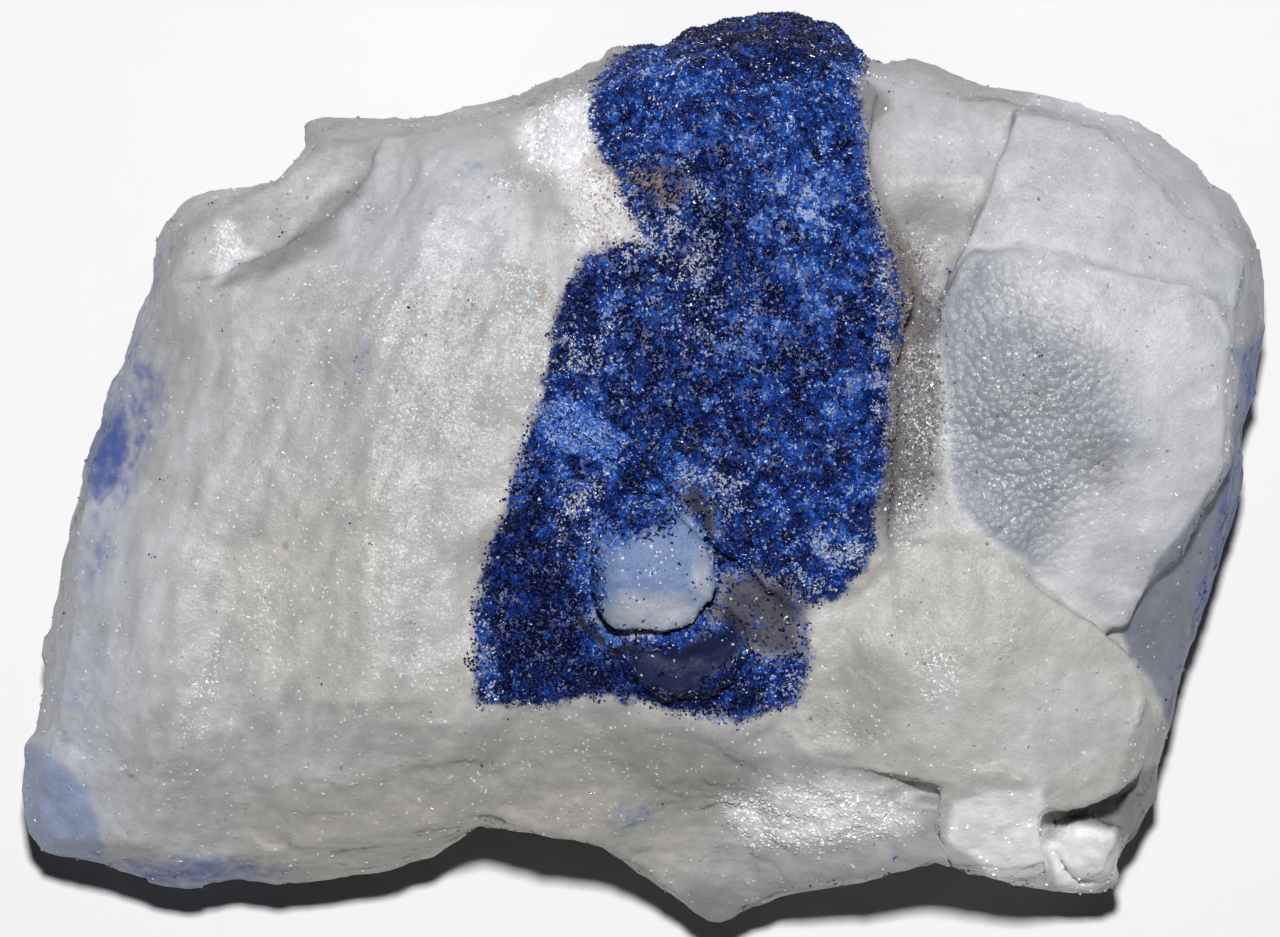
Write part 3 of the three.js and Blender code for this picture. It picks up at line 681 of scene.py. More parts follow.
def paint(piece, quartz):
    """Stores the quartz's colour at every point, with its zones, the windows in the vein, and painted
    shade, shadow and highlights.
    """
    points = points_of(piece) / MM
    wander = np.zeros(points.shape)
    wander[:, 0] = cloud_at(points, size=1.1, octaves=3, seed=12.0)
    wander[:, 1] = cloud_at(points, size=1.1, octaves=3, seed=17.0)
    ragged = points + RAGGED * wander
    store_zones(piece, points)
    store(piece, "window", window_at(points, wander))

    broad = cloud_at(points, size=5.0, octaves=2, seed=21.0)
    tint = np.tile(np.array(quartz.grey), (len(points), 1))
    for name in STAINS_UNDER:
        share = zone_strength(ragged, STAINS[name]) * np.clip(1 + BROAD_CHANGE * broad, 0, 1)
        wash(tint, share, getattr(quartz, name))
    for face in FACES:
        near = ragged if face.blur > SOFT_BLUR else points + CRISP * wander
        depth = depth_inside(near, face.outline)
        share = face.strength * smooth_step(depth, -face.blur, face.blur)
        wash(tint, share, getattr(quartz, face.colour))
        # painted highlight: white along each face's thin edge, in place of light glowing through it
        wash(tint, face.glow * np.exp(-((depth / EDGE_WIDTH) ** 2)), quartz.white)
    speckled = smooth_step(cloud_at(points, size=0.3, octaves=3, seed=41.0), -0.4, 0.4)
    for name in STAINS_OVER:
        share = zone_strength(ragged, STAINS[name]) * (speckled if name == "sky" else 1)
        wash(tint, share, getattr(quartz, name))

    downwards = -normals_of(piece)[:, 2]
    # painted shade: quartz that faces down is darkened towards the shade colour
    wash(tint, UNDERSIDE_SHADE_COVER * smooth_step(downwards, -0.1, 0.5), quartz.shade)
    tint *= (1 + BROAD_CHANGE * broad * smooth_step(downwards, -0.6, 0.0))[:, None]
    streaks = cloud_at(along_streaks(points, quartz), size=0.5, octaves=2, seed=2.0)
    streaks *= stored(piece, "streak")
    mottle = cloud_at(points, size=1.3, octaves=4, seed=27.0)
    change = np.clip(1 + MOTTLE_CHANGE * mottle + STREAK_CHANGE * streaks, 0.4, 1.4)
    tint *= change[:, None]

    grainy = 0.3 * mottle + 0.35 * cloud_at(points, size=0.35, octaves=3, seed=33.0)
    stain = stored(piece, "indigo")
    blue = stain + grainy * smooth_step(stain, 0.0, 0.4)
    wash(tint, BLUE_COVER * smooth_step(blue, 0.05, 1.15), quartz.indigo)
    rust = stored(piece, "ochre") * smooth_step(mottle, -0.3, 0.2)
    wash(tint, RUST_COVER * rust, quartz.ochre)
    store_tint(piece, tint)


def climb_to_block(points, upright):
    """How far the rough patch rises to meet the block's left edge, in millimetres."""
    edge_x, edge_y, edge_z = CLIMB_EDGE
    ground = edge_z - (np.array((edge_x, edge_y)) - points[:, :2]) @ np.array(CLIMB_SLOPE)
    near = points.copy()
    near[:, 0] = np.minimum(points[:, 0], edge_x - CLIMB_CORE)
    share = smooth_step(depth_inside(near, CLIMB), 0.0, CLIMB_BLUR)
    share *= (points[:, 0] < edge_x + CLIMB_OVERLAP) & (upright > -0.15)
    return share * np.clip(ground - points[:, 2], 0, None)


def weather(piece, quartz):
    """Breaks the smooth faces up into swells, chips and grains, in sizes that the mesh can hold."""
    points = points_of(piece) / MM
    normals = normals_of(piece)
    window = stored(piece, "window")
    vein = smooth_step(stored(piece, "vein"), -0.3, 0.3) * (1 - window)
    side = smooth_step(-normals[:, 2], -0.4, 0.0) * (1 - vein)
    calm = np.maximum(1 - SMOOTHED * stored(piece, "smooth"), side)
    small = calm + VEIN_FACETS * np.maximum(vein, window)
    rough = smooth_step(depth_inside(points, ROUGH), -0.3, 0.4)
    streaks = cloud_at(along_streaks(points, quartz), size=0.9, octaves=2, seed=2.0)

    offset = quartz.swell * cloud_at(points, size=5.0, octaves=3, seed=3.0)
    offset += quartz.chip * cloud_at(points, size=1.4, octaves=3, seed=8.0) * calm
    offset += BROAD_FACETS * quartz.chip * facets_at(points, size=1.8, seed=1.0) * calm
    offset += quartz.side_chip * facets_at(points, size=2.8, seed=12.0) * side
    offset += quartz.grain * facets_at(points, size=0.6, seed=5.0) * small
    offset += quartz.streak_depth * streaks * stored(piece, "streak")
    offset += quartz.pebble * pebbles_at(points, size=0.5, seed=4.0) * stored(piece, "pebble")
    offset += quartz.rough * (0.5 + cloud_at(points, size=0.8, octaves=3, seed=14.0)) * rough
    offset += quartz.ledge * zone_strength(points, LEDGE_SPOTS)
    offset += quartz.vein_lump * cloud_at(points, size=0.8, octaves=3, seed=6.0) * vein
    offset += quartz.vein_lump * facets_at(points, size=1.3, seed=9.0) * vein
    offset *= smooth_step(points[:, 2], 0.15, 1.2)
    climb = climb_to_block(points, normals[:, 2])
    points += normals * offset[:, None] / MM
    points[:, 2] += climb
    move_points(piece, points * MM)


# Crystals and grains


def above_rim(points):
    """Where crystals and grains may lie: none near the sole, and all of them from the rim up."""
    return smooth_step(points[:, 2], 1.0, 4.0)


def crystal_density(rock, points):
    """How thickly blue crystals grow: in the vein, and as loose specks on the quartz."""
    border = stored(rock, "vein") + 0.35 * cloud_at(points, size=0.6, octaves=3, seed=4.0)
    density = smooth_step(border, -0.15, 0.3) * (1 - stored(rock, "window"))
    density *= 1 - THINNED * stored(rock, "grit")
    speckled = cells_at(points, size=0.3, seed=14.0) > 0.99
    return np.maximum(density, SPECKS * speckled) * above_rim(points)


def crystal_tones(rock, points):
    """How much lighter or darker than their layer's tone the crystals are at each point."""
    tones = sum(strength * cloud_at(points, *kind) for strength, *kind in TONE_CLOUDS)
    tones += sum(strength * cells_at(points, *kind) for strength, *kind in TONE_CELLS)
    tones += sum(strength * stored(rock, zone) for zone, strength in TONE_ZONES.items())
    light = PATCH_SHARE * smooth_step(depth_inside(points, LIGHT_PATCH), -0.25, 0.15)
    return tones + light * (PATCH_TONE - tones)


def grain_densities(rock, points):
    """How thickly grit lies in the vein, and sugar on the rough faces round it."""
    inside = smooth_step(stored(rock, "vein"), -0.2, 0.5)
    clumps = smooth_step(cloud_at(points, size=0.7, octaves=3, seed=31.0), -0.25, 0.5)
    grit = PLAIN_GRIT * (1 - stored(rock, "deep")) + stored(rock, "grit")
    grit *= inside * clumps * (1 - 0.7 * stored(rock, "window"))
    faces = (smooth_step(depth_inside(points, face), -0.5, 0.3) for face in (BAND, ROUGH, BRUISE))
    sugar = (np.max(list(faces), axis=0) + PLAIN_SUGAR) * (1 - inside)
    return grit * above_rim(points), sugar * above_rim(points)


def grain_tints(rock, vein):
    """The rock's colours, turned bluer in the vein where there is little grit."""
    inside = smooth_step(stored(rock, "vein"), -0.2, 0.5)
    plain = np.clip(1 - 1.3 * stored(rock, "grit"), 0, 1)
    tints = stored_tint(rock)
    wash(tints, GRAIN_BLUE * inside * (1 - stored(rock, "window")) * plain, vein.pale)
    return tints


def joined_copies(name, model, places, turns, sizes):
    """One mesh of many copies of a model, each with its own place, turn and size."""
    corners = points_of(model)
    faces = [list(face.vertices) for face in model.data.polygons]
    shaped = corners[None, :, :] * sizes[:, None, :]
    points = np.einsum("nij,nkj->nki", turns, shaped) + places[:, None, :]
    steps = range(0, len(places) * len(corners), len(corners))
    joined = [[corner + step for corner in face] for step in steps for face in faces]
    mesh = bpy.data.meshes.new(name)
    mesh.from_pydata(points.reshape(-1, 3).tolist(), [], joined)
    piece = bpy.data.objects.new(name, mesh)
    bpy.context.scene.collection.objects.link(piece)
    return piece


def scatter(surface, density, count, rng):
    """Random places on a surface, more of them where the density of its points is high."""
    mesh = surface.data
    mesh.calc_loop_triangles()
    corners = np.zeros(len(mesh.loop_triangles) * 3, np.int32)
    mesh.loop_triangles.foreach_get("vertices", corners)
    corners = corners.reshape(-1, 3)
    points, normals = points_of(surface), normals_of(surface)
    a, b, c = (points[corners[:, i]] for i in range(3))
    area = np.linalg.norm(np.cross(b - a, c - a), axis=1)
    weight = area * density[corners].mean(axis=1)
    chosen = rng.choice(len(corners), count, p=weight / weight.sum())
    u, v = rng.random(count), rng.random(count)
    folded = u + v > 1
    u[folded], v[folded] = 1 - u[folded], 1 - v[folded]
    shares = np.stack([1 - u - v, u, v], axis=1)
    places = np.einsum("ni,nij->nj", shares, points[corners[chosen]])
    upwards = np.einsum("ni,nij->nj", shares, normals[corners[chosen]])
    upwards /= np.linalg.norm(upwards, axis=1)[:, None]
    nearest = corners[chosen, shares.argmax(axis=1)]
    return places, upwards, nearest


def lying_turns(upwards, lift, rng):
    """Turns that lay a crystal's long axis along the surface, raised by an angle in degrees."""
    random = rng.normal(size=(len(upwards), 3))
    flat = random - upwards * np.einsum("ni,ni->n", random, upwards)[:, None]
    flat /= np.linalg.norm(flat, axis=1)[:, None]
    angle = np.radians(lift)[:, None]
    axis = flat * np.cos(angle) + upwards * np.sin(angle)
    side = np.cross(upwards, flat)
    third = np.cross(axis, side)
    return np.stack([side, third, axis], axis=2)


def tumbled_turns(count, rng):
    """Turns at random."""
    q = rng.normal(size=(count, 4))
    w, x, y, z = (q / np.linalg.norm(q, axis=1)[:, None]).T
    rows = [
        [1 - 2 * (y * y + z * z), 2 * (x * y - z * w), 2 * (x * z + y * w)],
        [2 * (x * y + z * w), 1 - 2 * (x * x + z * z), 2 * (y * z - x * w)],
        [2 * (x * z - y * w), 2 * (y * z + x * w), 1 - 2 * (x * x + y * y)],
    ]
    return np.array(rows).transpose(2, 0, 1)


def pinched_prism(sides, pinch):
    """A prism a unit wide and a unit long, with its upper end drawn in and set askew."""
    bpy.ops.object.select_all(action="DESELECT")
    bpy.ops.mesh.primitive_cylinder_add(vertices=sides, radius=0.5, depth=1)
    prism = bpy.context.object
    bpy.ops.object.mode_set(mode="EDIT")
    bpy.ops.mesh.select_all(action="DESELECT")
    bpy.ops.object.mode_set(mode="OBJECT")
    for vertex in prism.data.vertices:
        vertex.select = vertex.co.z > 0
    bpy.ops.object.mode_set(mode="EDIT")
    bpy.ops.transform.resize(value=(pinch, 0.7 * pinch, 1), center_override=(0.1, 0, 0.5))
    bpy.ops.transform.rotate(value=0.4, orient_axis="X", center_override=(0, 0, 0.4))
    bpy.ops.object.mode_set(mode="OBJECT")
    return prism


# Materials


def set_inputs(tree, node, inputs):
    """Gives each input named its value, or a link from the output that it is to follow."""
    for name, value in inputs.items():
        if isinstance(value, bpy.types.NodeSocket):
            tree.links.new(value, node.inputs[name])
        else:
            node.inputs[name].default_value = value


def add_node(tree, kind, inputs=None, **settings):
    """A node with its settings, and a value or a link for each input named."""
    made = tree.nodes.new(kind)
    for name, value in settings.items():
        setattr(made, name, value)
    set_inputs(tree, made, inputs or {})
    return made


def reckon(tree, operation, a, b=0.0, c=0.0):
    return add_node(tree, "ShaderNodeMath", {0: a, 1: b, 2: c}, operation=operation).outputs[0]


def with_shares(tree, value, *parts):
    """A value with a share of each part added."""
    for part, share in parts:
        value = reckon(tree, "MULTIPLY_ADD", part, share, value)
    return value


def opaque(colour):
    return (*colour, 1.0)


def blend(tree, share, a, b):
    """Two colours blended; a colour node's first sockets are for numbers, the next for colours."""
    return add_node(tree, "ShaderNodeMix", {0: share, 6: a, 7: b}, data_type="RGBA").outputs[2]


def fit(tree, value, low, high, to_low=0.0, to_high=1.0):
    """A value spread smoothly from one range to another."""
    inputs = {"Value": value, "From Min": low, "From Max": high, "To Min": to_low, "To Max": to_high}
    made = add_node(tree, "ShaderNodeMapRange", inputs, interpolation_type="SMOOTHSTEP")
    return made.outputs[0]


def mark(tree, name):
    return add_node(tree, "ShaderNodeAttribute", attribute_name=name).outputs["Fac"]


def tint_of(tree):
    return add_node(tree, "ShaderNodeAttribute", attribute_name="tint").outputs["Color"]


def noise_node(tree, vector, scale, detail=3.0, roughness=0.55):
    inputs = {"Vector": vector, "Scale": scale, "Detail": detail, "Roughness": roughness}
    return add_node(tree, "ShaderNodeTexNoise", inputs).outputs["Fac"]


def shaded(tree, colour, amount):
    """A colour made lighter or darker by an amount that is 0 where it stays."""
    factor = reckon(tree, "ADD", amount, 1.0)
    scaled = add_node(tree, "ShaderNodeVectorMath", {0: colour}, operation="SCALE")
    tree.links.new(factor, scaled.inputs["Scale"])
    return scaled.outputs[0]


def new_group(name, inputs, outputs):
    """A shader node group with named inputs and outputs; inputs carry their defaults."""
    tree = bpy.data.node_groups.new(name, "ShaderNodeTree")
    for label, default in inputs.items():
        kind = "NodeSocketVector" if isinstance(default, tuple) else "NodeSocketFloat"
        socket = tree.interface.new_socket(label, in_out="INPUT", socket_type=kind)
        socket.default_value = default
    for label in outputs:
        tree.interface.new_socket(label, in_out="OUTPUT", socket_type="NodeSocketFloat")
    start = tree.nodes.new("NodeGroupInput")
    end = tree.nodes.new("NodeGroupOutput")
    return tree, start.outputs, end.inputs


def use_group(tree, group, inputs):
    made = add_node(tree, "ShaderNodeGroup", node_tree=group)
    set_inputs(tree, made, inputs)
    return made.outputs


def make_grains_group():
    """Small cells: a height for each one's tilted facet, a shade of its own, and a rounded height."""
    tree, given, result = new_group(
        "broken grains", {"Place": (0.0, 0.0, 0.0), "Size": 0.2}, ("Facet", "Shade", "Dome")
    )
    scale = reckon(tree, "DIVIDE", 1.0, given["Size"])
    cells = add_node(tree, "ShaderNodeTexVoronoi", {"Vector": given["Place"], "Scale": scale})
    places = {0: given["Place"], 1: cells.outputs["Position"]}
    out = add_node(tree, "ShaderNodeVectorMath", places, operation="SUBTRACT")
    colours = {0: cells.outputs["Color"], 1: (0.5, 0.5, 0.5)}
    tilt = add_node(tree, "ShaderNodeVectorMath", colours, operation="SUBTRACT")
    both = {0: out.outputs[0], 1: tilt.outputs[0]}
    facet = add_node(tree, "ShaderNodeVectorMath", both, operation="DOT_PRODUCT")
    parts = add_node(tree, "ShaderNodeSeparateColor", {0: cells.outputs["Color"]})
    tree.links.new(facet.outputs["Value"], result["Facet"])
    tree.links.new(parts.outputs[1], result["Shade"])
    tree.links.new(reckon(tree, "SUBTRACT", 0.5, cells.outputs["Distance"]), result["Dome"])
    return tree


def make_ragged_group():
    """A zone's strength with its edge broken up by noise."""
    tree, given, result = new_group(
        "ragged edge",
        {"Strength": 0.0, "Place": (0.0, 0.0, 0.0), "Size": 1.0, "Amount": 0.5, "Softness": 0.3},
        ("Zone",),
    )
    scale = reckon(tree, "DIVIDE", 1.0, given["Size"])
    value = reckon(tree, "SUBTRACT", noise_node(tree, given["Place"], scale, 3.0, 0.65), 0.5)
    moved = reckon(tree, "MULTIPLY_ADD", value, given["Amount"], given["Strength"])
    low = reckon(tree, "SUBTRACT", 0.5, given["Softness"])
    high = reckon(tree, "ADD", 0.5, given["Softness"])
    tree.links.new(fit(tree, moved, low, high), result["Zone"])
    return tree


def new_material(name):
    material = bpy.data.materials.new(name)
    material.use_nodes = True
    tree = material.node_tree
    shader = tree.nodes["Principled BSDF"]
    coordinates = add_node(tree, "ShaderNodeTexCoord")
    inputs = {0: coordinates.outputs["Object"], "Scale": 1 / MM}
    place = add_node(tree, "ShaderNodeVectorMath", inputs, operation="SCALE")
    return material, tree, shader, place.outputs[0]


def make_rock_material(groups, quartz, vein):
    """Milky quartz with all its zones, painted glints and pebble highlights, and the blue ground under
    the vein's crystals.
    """
    material, tree, shader, place = new_material("milky_quartz")
    sugar, pebble, window = (mark(tree, name) for name in ("sugar", "pebble", "window"))
    fine = use_group(tree, groups["grains"], {"Place": place, "Size": FINE_GRAIN})
    rounded = use_group(tree, groups["grains"], {"Place": place, "Size": ROUND_GRAIN})
    pebble_height_and_highlight = reckon(tree, "MULTIPLY", rounded["Dome"], pebble)
    cloudy = reckon(tree, "SUBTRACT", noise_node(tree, place, CLOUDS, 4.0, 0.65), 0.5)

    speckle = fit(tree, sugar, 0.0, 1.0, 0.08, 0.2)
    change = reckon(tree, "MULTIPLY", reckon(tree, "SUBTRACT", fine["Shade"], 0.5), speckle)
    # painted highlight: the rounded tops of the slab's pebbles are lighter
    change = with_shares(tree, change, (pebble_height_and_highlight, 0.2), (cloudy, 0.36))
    colour = shaded(tree, tint_of(tree), change)
    # painted glints: a few fine grains, more in the clumps and sugary zones, turn nearly white
    clumps = fit(tree, noise_node(tree, place, CLUMPS, 3.0), 0.42, 0.66)
    often = with_shares(tree, PLAIN_PAINTED_GLINTS, (sugar, SUGAR_PAINTED_GLINTS))
    limit = reckon(tree, "SUBTRACT", PAINTED_GLINT_LIMIT, reckon(tree, "MULTIPLY", often, clumps))
    painted_glints = reckon(tree, "GREATER_THAN", fine["Shade"], limit)
    colour = blend(tree, reckon(tree, "MULTIPLY", painted_glints, PAINTED_GLINT_COVER), colour, opaque(quartz.painted_glint))

    ground = blend(tree, fine["Shade"], opaque(vein.black), opaque(vein.middle))
    depth = with_shares(tree, 0.5, (mark(tree, "vein"), 1.2))
    inside = use_group(
        tree, groups["ragged"],
        {"Strength": depth, "Place": place, "Size": VEIN_BREAK, "Amount": 1.3, "Softness": 0.25},
    )["Zone"]
    inside = reckon(tree, "MULTIPLY", inside, reckon(tree, "SUBTRACT", 1.0, window))
    colour = blend(tree, inside, colour, ground)

    gloss = with_shares(tree, 0.42, (fine["Shade"], 0.15), (sugar, -0.15), (window, 0.2))
    slope = with_shares(tree, fit(tree, sugar, 0.0, 1.0, 0.16, 0.6), (window, 0.15))
    height = reckon(tree, "MULTIPLY", fine["Facet"], slope)
    height = with_shares(tree, height, (pebble_height_and_highlight, 0.12), (cloudy, 0.07))
    bump = add_node(tree, "ShaderNodeBump", {"Strength": 0.8, "Distance": MM, "Height": height})
    look = {"Base Color": colour, "Roughness": gloss, "Normal": bump.outputs[0], "IOR": QUARTZ_IOR}
    set_inputs(tree, shader, look)
    return material


def make_crystal_material(vein):
    """Blue crystals from nearly black to pale, by each crystal's own tone."""
    material, tree, shader, place = new_material("dumortierite")
    ramp = add_node(tree, "ShaderNodeValToRGB", {"Fac": mark(tree, "tone")})
    tones = (vein.black, vein.deep, vein.middle, vein.bright, vein.pale, vein.frost_and_glint)
    places = (0.0, 0.2, 0.42, 0.64, 0.84, 1.0)
    while len(ramp.color_ramp.elements) < len(tones):
        ramp.color_ramp.elements.new(0.5)
    for element, position, colour in zip(ramp.color_ramp.elements, places, tones):
        element.position = position
        element.color = opaque(colour)
    fibre = noise_node(tree, place, 14.0, 2.0)
    darkened = fit(tree, fibre, 0.4, 0.7, 0.0, 0.3)
    colour = blend(tree, darkened, ramp.outputs[0], opaque(vein.black))
    gloss = fit(tree, fibre, 0.3, 0.7, 0.2, 0.4)
    set_inputs(tree, shader, {"Base Color": colour, "Roughness": gloss, "IOR": CRYSTAL_IOR})
    return material


def make_grain_material(quartz):
    """Clear to white quartz grains that take the colour of the rock around them, some stained."""
    material, tree, shader, place = new_material("quartz_grains")
    dust = noise_node(tree, place, 9.0, 2.0)
    tone = with_shares(tree, mark(tree, "tone"), (dust, 0.3))
    colour = shaded(tree, tint_of(tree), reckon(tree, "SUBTRACT", tone, 0.5))
    colour = blend(tree, mark(tree, "stain"), colour, opaque(quartz.ochre))
    gloss = fit(tree, dust, 0.3, 0.7, 0.12, 0.3)
    set_inputs(tree, shader, {"Base Color": colour, "Roughness": gloss, "IOR": QUARTZ_IOR})
    return material


def make_paper_material(stage):
    """The pale floor."""
    material, tree, shader, place = new_material("pale_floor")
    fibre = noise_node(tree, place, 0.8, 3.0)
    colour = shaded(tree, tuple(stage.floor), reckon(tree, "MULTIPLY", fibre, 0.02))
    set_inputs(tree, shader, {"Base Color": colour, "Roughness": 0.9, "Specular IOR Level": 0.1})
    return material


# Settings


def colour_property(name, description, default):
    return bpy.props.FloatVectorProperty(
        name=name, description=description, subtype="COLOR", min=0, max=1, default=default
    )


def length_property(name, description, default):
    return bpy.props.FloatProperty(
        name=name, description=description, unit="LENGTH", min=0, precision=6, default=default
    )


class QuartzSettings(bpy.types.PropertyGroup):
    mesh_size: length_property("Mesh size", "Size of the mesh's faces", 0.17 * MM)
    kept: bpy.props.FloatProperty(
        name="Kept", description="Share of the faces kept when the underside is thinned", default=0.61
    )
    wear: bpy.props.IntProperty(name="Wear", description="Rounds of smoothing", default=1)
    swell: length_property("Swell", "Height of the broad swells", 0.16 * MM)
    chip: length_property("Chip", "Height of the chipped facets", 0.1 * MM)
    side_chip: length_property("Side chip", "Height of the chips on the steep sides", 0.35 * MM)
    grain: length_property("Grain", "Height of the small facets", 0.07 * MM)
    pebble: length_property("Pebble", "Height of the slab's pebbled bumps", 0.03 * MM)
    ledge: length_property("Ledge", "Thickness of the rock between lump and chip", 0.35 * MM)
    rough: length_property("Rough", "Height of the rough white patch", 0.16 * MM)
    vein_lump: length_property("Vein lump", "Height of the vein's lumps", 0.14 * MM)
    streak_depth: length_property("Streak depth", "Height of the left face's streaks", 0.05 * MM)
    streak_stretch: bpy.props.FloatProperty(
        name="Streak stretch", description="How much longer a streak is than wide", min=1, default=9.0
    )
    grey: colour_property("Grey", "Plain milky quartz", (0.465, 0.46, 0.465))
    beige: colour_property("Beige", "Warm quartz low on the rock", (0.46, 0.445, 0.40))
    warm: colour_property("Warm", "The lower right plate", (0.495, 0.485, 0.45))
    cool: colour_property("Cool", "The left bevel", (0.49, 0.51, 0.57))
    sky: colour_property("Sky", "Pale blue quartz", (0.22, 0.29, 0.48))
    pale: colour_property("Pale", "Bright milky quartz", (0.575, 0.585, 0.615))
    milk: colour_property("Milk", "White quartz at the lower rim", (0.96, 0.96, 0.96))
    # painted glint colour, for grains that stand in for facets catching the light
    painted_glint: colour_property("Glint", "Tiny facets that catch the light", (0.95, 0.95, 0.97))
    # White is also the painted highlight along the faces' thin edges
    white: colour_property("White", "White bruised quartz", (0.88, 0.88, 0.91))
    dome: colour_property("Dome", "The upper right dome", (0.515, 0.525, 0.57))
    slab: colour_property("Slab", "The slab's clearer half", (0.295, 0.315, 0.365))
    # Flank: blue grey, darkened with painted shade for the steep side
    flank: colour_property("Flank", "The dark right flank", (0.22, 0.24, 0.30))
    # Dim is also painted shade in the hollow right of the vein
    dim_and_shade: colour_property("Dim", "Clearer, darker quartz", (0.38, 0.37, 0.37))
    # Dusk is also painted shade in the trough, the notch, the wedge, the hollow and the crease
    dusk_and_shade: colour_property("Dusk", "See-through grey quartz", (0.19, 0.18, 0.19))
    dark: colour_property("Dark", "Clear quartz in the vein", (0.070, 0.063, 0.078))
    umber: colour_property("Umber", "The brown hollow in the vein", (0.018, 0.013, 0.011))
    ice: colour_property("Ice", "The pale lump in the vein", (0.20, 0.29, 0.51))
    indigo: colour_property("Indigo", "Blue stain in the quartz", (0.05, 0.095, 0.33))
    inky: colour_property("Inky", "The dark blue chip in the vein", (0.002, 0.010, 0.062))
    # Gap is painted shadow, the near black that the lump casts on the vein below it
    gap: colour_property("Gap", "The deep gap below the pale lump", (0.003, 0.004, 0.012))
    # Shade is painted shade, laid on quartz that faces down
    shade: colour_property("Shade", "Quartz that faces down", (0.14, 0.135, 0.14))
    ochre: colour_property("Ochre", "Rust stain", (0.33, 0.235, 0.135))
    grain_size: length_property("Grain size", "Size of the loose quartz grains", 0.14 * MM)
    grain_count: bpy.props.IntProperty(name="Grain count", description="Quartz grains", default=6000)


class VeinSettings(bpy.types.PropertyGroup):
    black: colour_property("Black", "Darkest blue", (0.001, 0.003, 0.03))
    deep: colour_property("Deep", "Deep blue", (0.002, 0.011, 0.11))
    middle: colour_property("Middle", "Middle blue", (0.005, 0.034, 0.24))
    bright: colour_property("Bright", "Bright blue", (0.018, 0.115, 0.56))
    pale: colour_property("Pale", "Pale blue", (0.09, 0.26, 0.76))
    # Frost is also the colour of the crystals' painted glints
    frost_and_glint: colour_property("Frost", "Nearly white blue", (0.50, 0.60, 0.85))
    length: length_property("Crystal length", "Usual length of a blue crystal", 0.15 * MM)
    width: length_property("Crystal width", "Usual width of a blue crystal", 0.1 * MM)
    count: bpy.props.IntProperty(name="Crystal count", description="Crystals in a piece", default=24000)
    grit_count: bpy.props.IntProperty(name="Grit count", description="Pale grains", default=5600)


class StageSettings(bpy.types.PropertyGroup):
    floor: colour_property("Floor", "The floor's colour", (0.92, 0.915, 0.92))
    key: bpy.props.FloatProperty(name="Key", description="Key light", unit="POWER", default=3.5)
    key_lean: bpy.props.FloatProperty(
        name="Key lean", description="How far the key light leans back from straight above",
        subtype="ANGLE", default=math.radians(11),
    )
    key_distance: length_property("Key distance", "From the rock to the key light", 0.6)
    key_size: length_property("Key size", "Width of the key light", 0.035)
    fill: bpy.props.FloatProperty(name="Fill", description="Light from all round", default=0.003)
    lens: bpy.props.FloatProperty(name="Lens", description="Focal length in mm", default=400.0)
    view_width: length_property("View width", "Width of the picture at the rim", 47.36 * MM)
    rim_height: length_property("Rim height", "Height of the rock's widest slice", 5 * MM)


# Operators


class SPECIMEN_OT_rock(bpy.types.Operator):
    """The quartz body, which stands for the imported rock"""

    bl_idname = "specimen.rock"
    bl_label = "Quartz body"

    def execute(self, context):
        quartz = context.scene.specimen_quartz
        rock = copy_rock("quartz_body")
        even_mesh(rock, quartz)
        paint(rock, quartz)
        weather(rock, quartz)
        select_only(rock)
        bpy.ops.object.shade_smooth()
        groups = {"grains": make_grains_group(), "ragged": make_ragged_group()}
        finish_piece(rock, make_rock_material(groups, quartz, context.scene.specimen_vein))
        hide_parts(ROCK_NODE)
        return {"FINISHED"}


class SPECIMEN_OT_crystals(bpy.types.Operator):
    """The blue crystals of the vein, in a lower, a middle and an upper layer"""

    bl_idname = "specimen.crystals"
    bl_label = "Blue crystals"

    def execute(self, context):
        vein = context.scene.specimen_vein
        rock = bpy.data.objects["quartz_body"]
        points = points_of(rock) / MM
        density = crystal_density(rock, points)
        change = crystal_tones(rock, points)
        painted_glinting = PAINTED_GLINT_SHARE * (1 - stored(rock, "deep"))
        within = 0.5 + 0.5 * smooth_step(stored(rock, "vein"), 0.0, 0.8)
        prism = pinched_prism(3, 0.6)
        corners = len(prism.data.vertices)
        material = make_crystal_material(vein)
        for layer in LAYERS:
            rng = np.random.default_rng(layer.seed)
            places, upwards, nearest = scatter(rock, density, vein.count, rng)
            tilt = rng.normal(0, layer.lift, vein.count) * within[nearest]
            length = vein.length * layer.size * rng.uniform(*LENGTHS, vein.count) * within[nearest]
            width = vein.width * layer.size * rng.uniform(*WIDTHS, vein.count)
            thickness = width * rng.uniform(*THICKNESSES, vein.count)
            sizes = np.stack([width, thickness, length], axis=1)
            tones = layer.tone + change[nearest] + rng.normal(0, TONE_SPREAD, vein.count)
            # painted glints: a few crystals are made lighter, towards frost
            tones += PAINTED_GLINT_TONE * (rng.random(vein.count) < painted_glinting[nearest])
            places = places + upwards * (RAISED * MM)
            turns = lying_turns(upwards, tilt, rng)
            crystals = joined_copies(layer.piece, prism, places, turns, sizes)
            store(crystals, "tone", np.repeat(np.clip(tones, 0, 1), corners))
            finish_piece(crystals, material)
        bpy.data.objects.remove(prism)
        return {"FINISHED"}


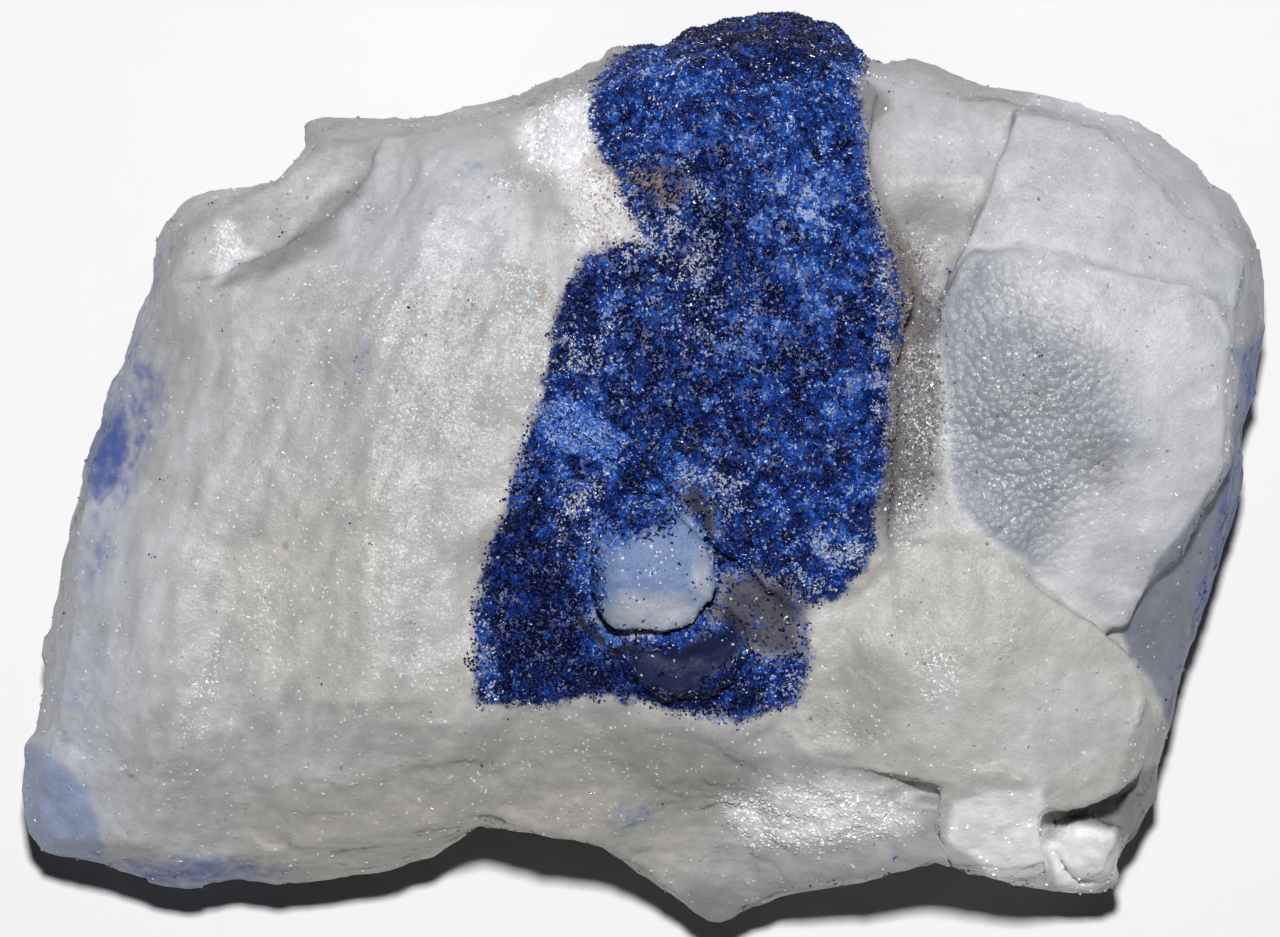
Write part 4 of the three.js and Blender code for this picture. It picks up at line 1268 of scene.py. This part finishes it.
class SPECIMEN_OT_grains(bpy.types.Operator):
    """Pale quartz grains: grit in the vein, and sugar on the quartz"""

    bl_idname = "specimen.grains"
    bl_label = "Quartz grains"

    def execute(self, context):
        quartz = context.scene.specimen_quartz
        vein = context.scene.specimen_vein
        rock = bpy.data.objects["quartz_body"]
        grit, sugar = grain_densities(rock, points_of(rock) / MM)
        tint = grain_tints(rock, vein)
        grain = pinched_prism(5, 0.75)
        corners = len(grain.data.vertices)
        material = make_grain_material(quartz)
        beds = ((GRIT_BED, grit, vein.grit_count), (SUGAR_BED, sugar, quartz.grain_count))
        for bed, density, count in beds:
            rng = np.random.default_rng(bed.seed)
            places, upwards, nearest = scatter(rock, density, count, rng)
            sizes = quartz.grain_size * bed.size * rng.uniform(*GRAIN_SIZES, (count, 3))
            tones = bed.tone + rng.normal(0, GRAIN_SPREAD, count)
            stains = stored(rock, "ochre")[nearest] * rng.random(count)
            turns = tumbled_turns(count, rng)
            grains = joined_copies(bed.piece, grain, places, turns, sizes)
            store(grains, "tone", np.repeat(tones, corners))
            store(grains, "stain", np.repeat(stains, corners))
            store_tint(grains, np.repeat(tint[nearest], corners, axis=0))
            finish_piece(grains, material)
        bpy.data.objects.remove(grain)
        return {"FINISHED"}


class SPECIMEN_OT_stage(bpy.types.Operator):
    """The floor, the lights and the camera"""

    bl_idname = "specimen.stage"
    bl_label = "Stage"

    def execute(self, context):
        stage = context.scene.specimen_stage
        bpy.ops.object.select_all(action="DESELECT")
        bpy.ops.mesh.primitive_plane_add(size=FLOOR_WIDTH)
        floor = context.object
        floor.name = "floor"
        floor.data.materials.append(make_paper_material(stage))
        lean = stage.key_lean
        place = Vector((0, math.sin(lean), math.cos(lean))) * stage.key_distance
        bpy.ops.object.light_add(type="AREA", location=place, rotation=(-lean, 0, 0))
        key = context.object.data
        key.energy = stage.key
        key.size = stage.key_size
        world = bpy.data.worlds.new("soft studio")
        context.scene.world = world
        world.use_nodes = True
        tree = world.node_tree
        background = tree.nodes["Background"]
        seen = add_node(tree, "ShaderNodeLightPath").outputs["Is Camera Ray"]
        strength = fit(tree, seen, 0.0, 1.0, stage.fill, BACKDROP)
        set_inputs(tree, background, {"Color": (1, 1, 1, 1), "Strength": strength})
        distance = stage.view_width * stage.lens / SENSOR_WIDTH
        bpy.ops.object.camera_add(location=(*VIEW_MIDDLE, stage.rim_height + distance))
        camera = context.object
        camera.rotation_euler = (0, 0, 0)
        camera.data.lens = stage.lens
        camera.data.sensor_width = SENSOR_WIDTH
        camera.data.clip_start = 0.01
        context.scene.camera = camera
        context.scene.view_settings.view_transform = "Standard"
        return {"FINISHED"}


# Panel and start


class SPECIMEN_PT_panel(bpy.types.Panel):
    """The pieces of the specimen, in the order they are made"""

    bl_idname = "SPECIMEN_PT_panel"
    bl_label = "Dumortierite specimen"
    bl_space_type = "VIEW_3D"
    bl_region_type = "UI"
    bl_category = "Specimen"

    def draw(self, context):
        for operator in OPERATORS:
            self.layout.operator(operator.bl_idname)
        for group in (getattr(context.scene, name) for name in SETTINGS):
            for name in group.__annotations__:
                self.layout.prop(group, name)


OPERATORS = (SPECIMEN_OT_rock, SPECIMEN_OT_crystals, SPECIMEN_OT_grains, SPECIMEN_OT_stage)
SETTINGS = {
    "specimen_quartz": QuartzSettings,
    "specimen_vein": VeinSettings,
    "specimen_stage": StageSettings,
}


def register():
    for group in (*SETTINGS.values(), *OPERATORS, SPECIMEN_PT_panel):
        bpy.utils.register_class(group)
    for name, group in SETTINGS.items():
        setattr(bpy.types.Scene, name, bpy.props.PointerProperty(type=group))


def unregister():
    for name in SETTINGS:
        delattr(bpy.types.Scene, name)
    for group in (SPECIMEN_PT_panel, *reversed(OPERATORS), *SETTINGS.values()):
        bpy.utils.unregister_class(group)


def main():
    register()
    bpy.ops.specimen.rock()
    bpy.ops.specimen.crystals()
    bpy.ops.specimen.grains()
    bpy.ops.specimen.stage()


if __name__ == "__main__":
    main()
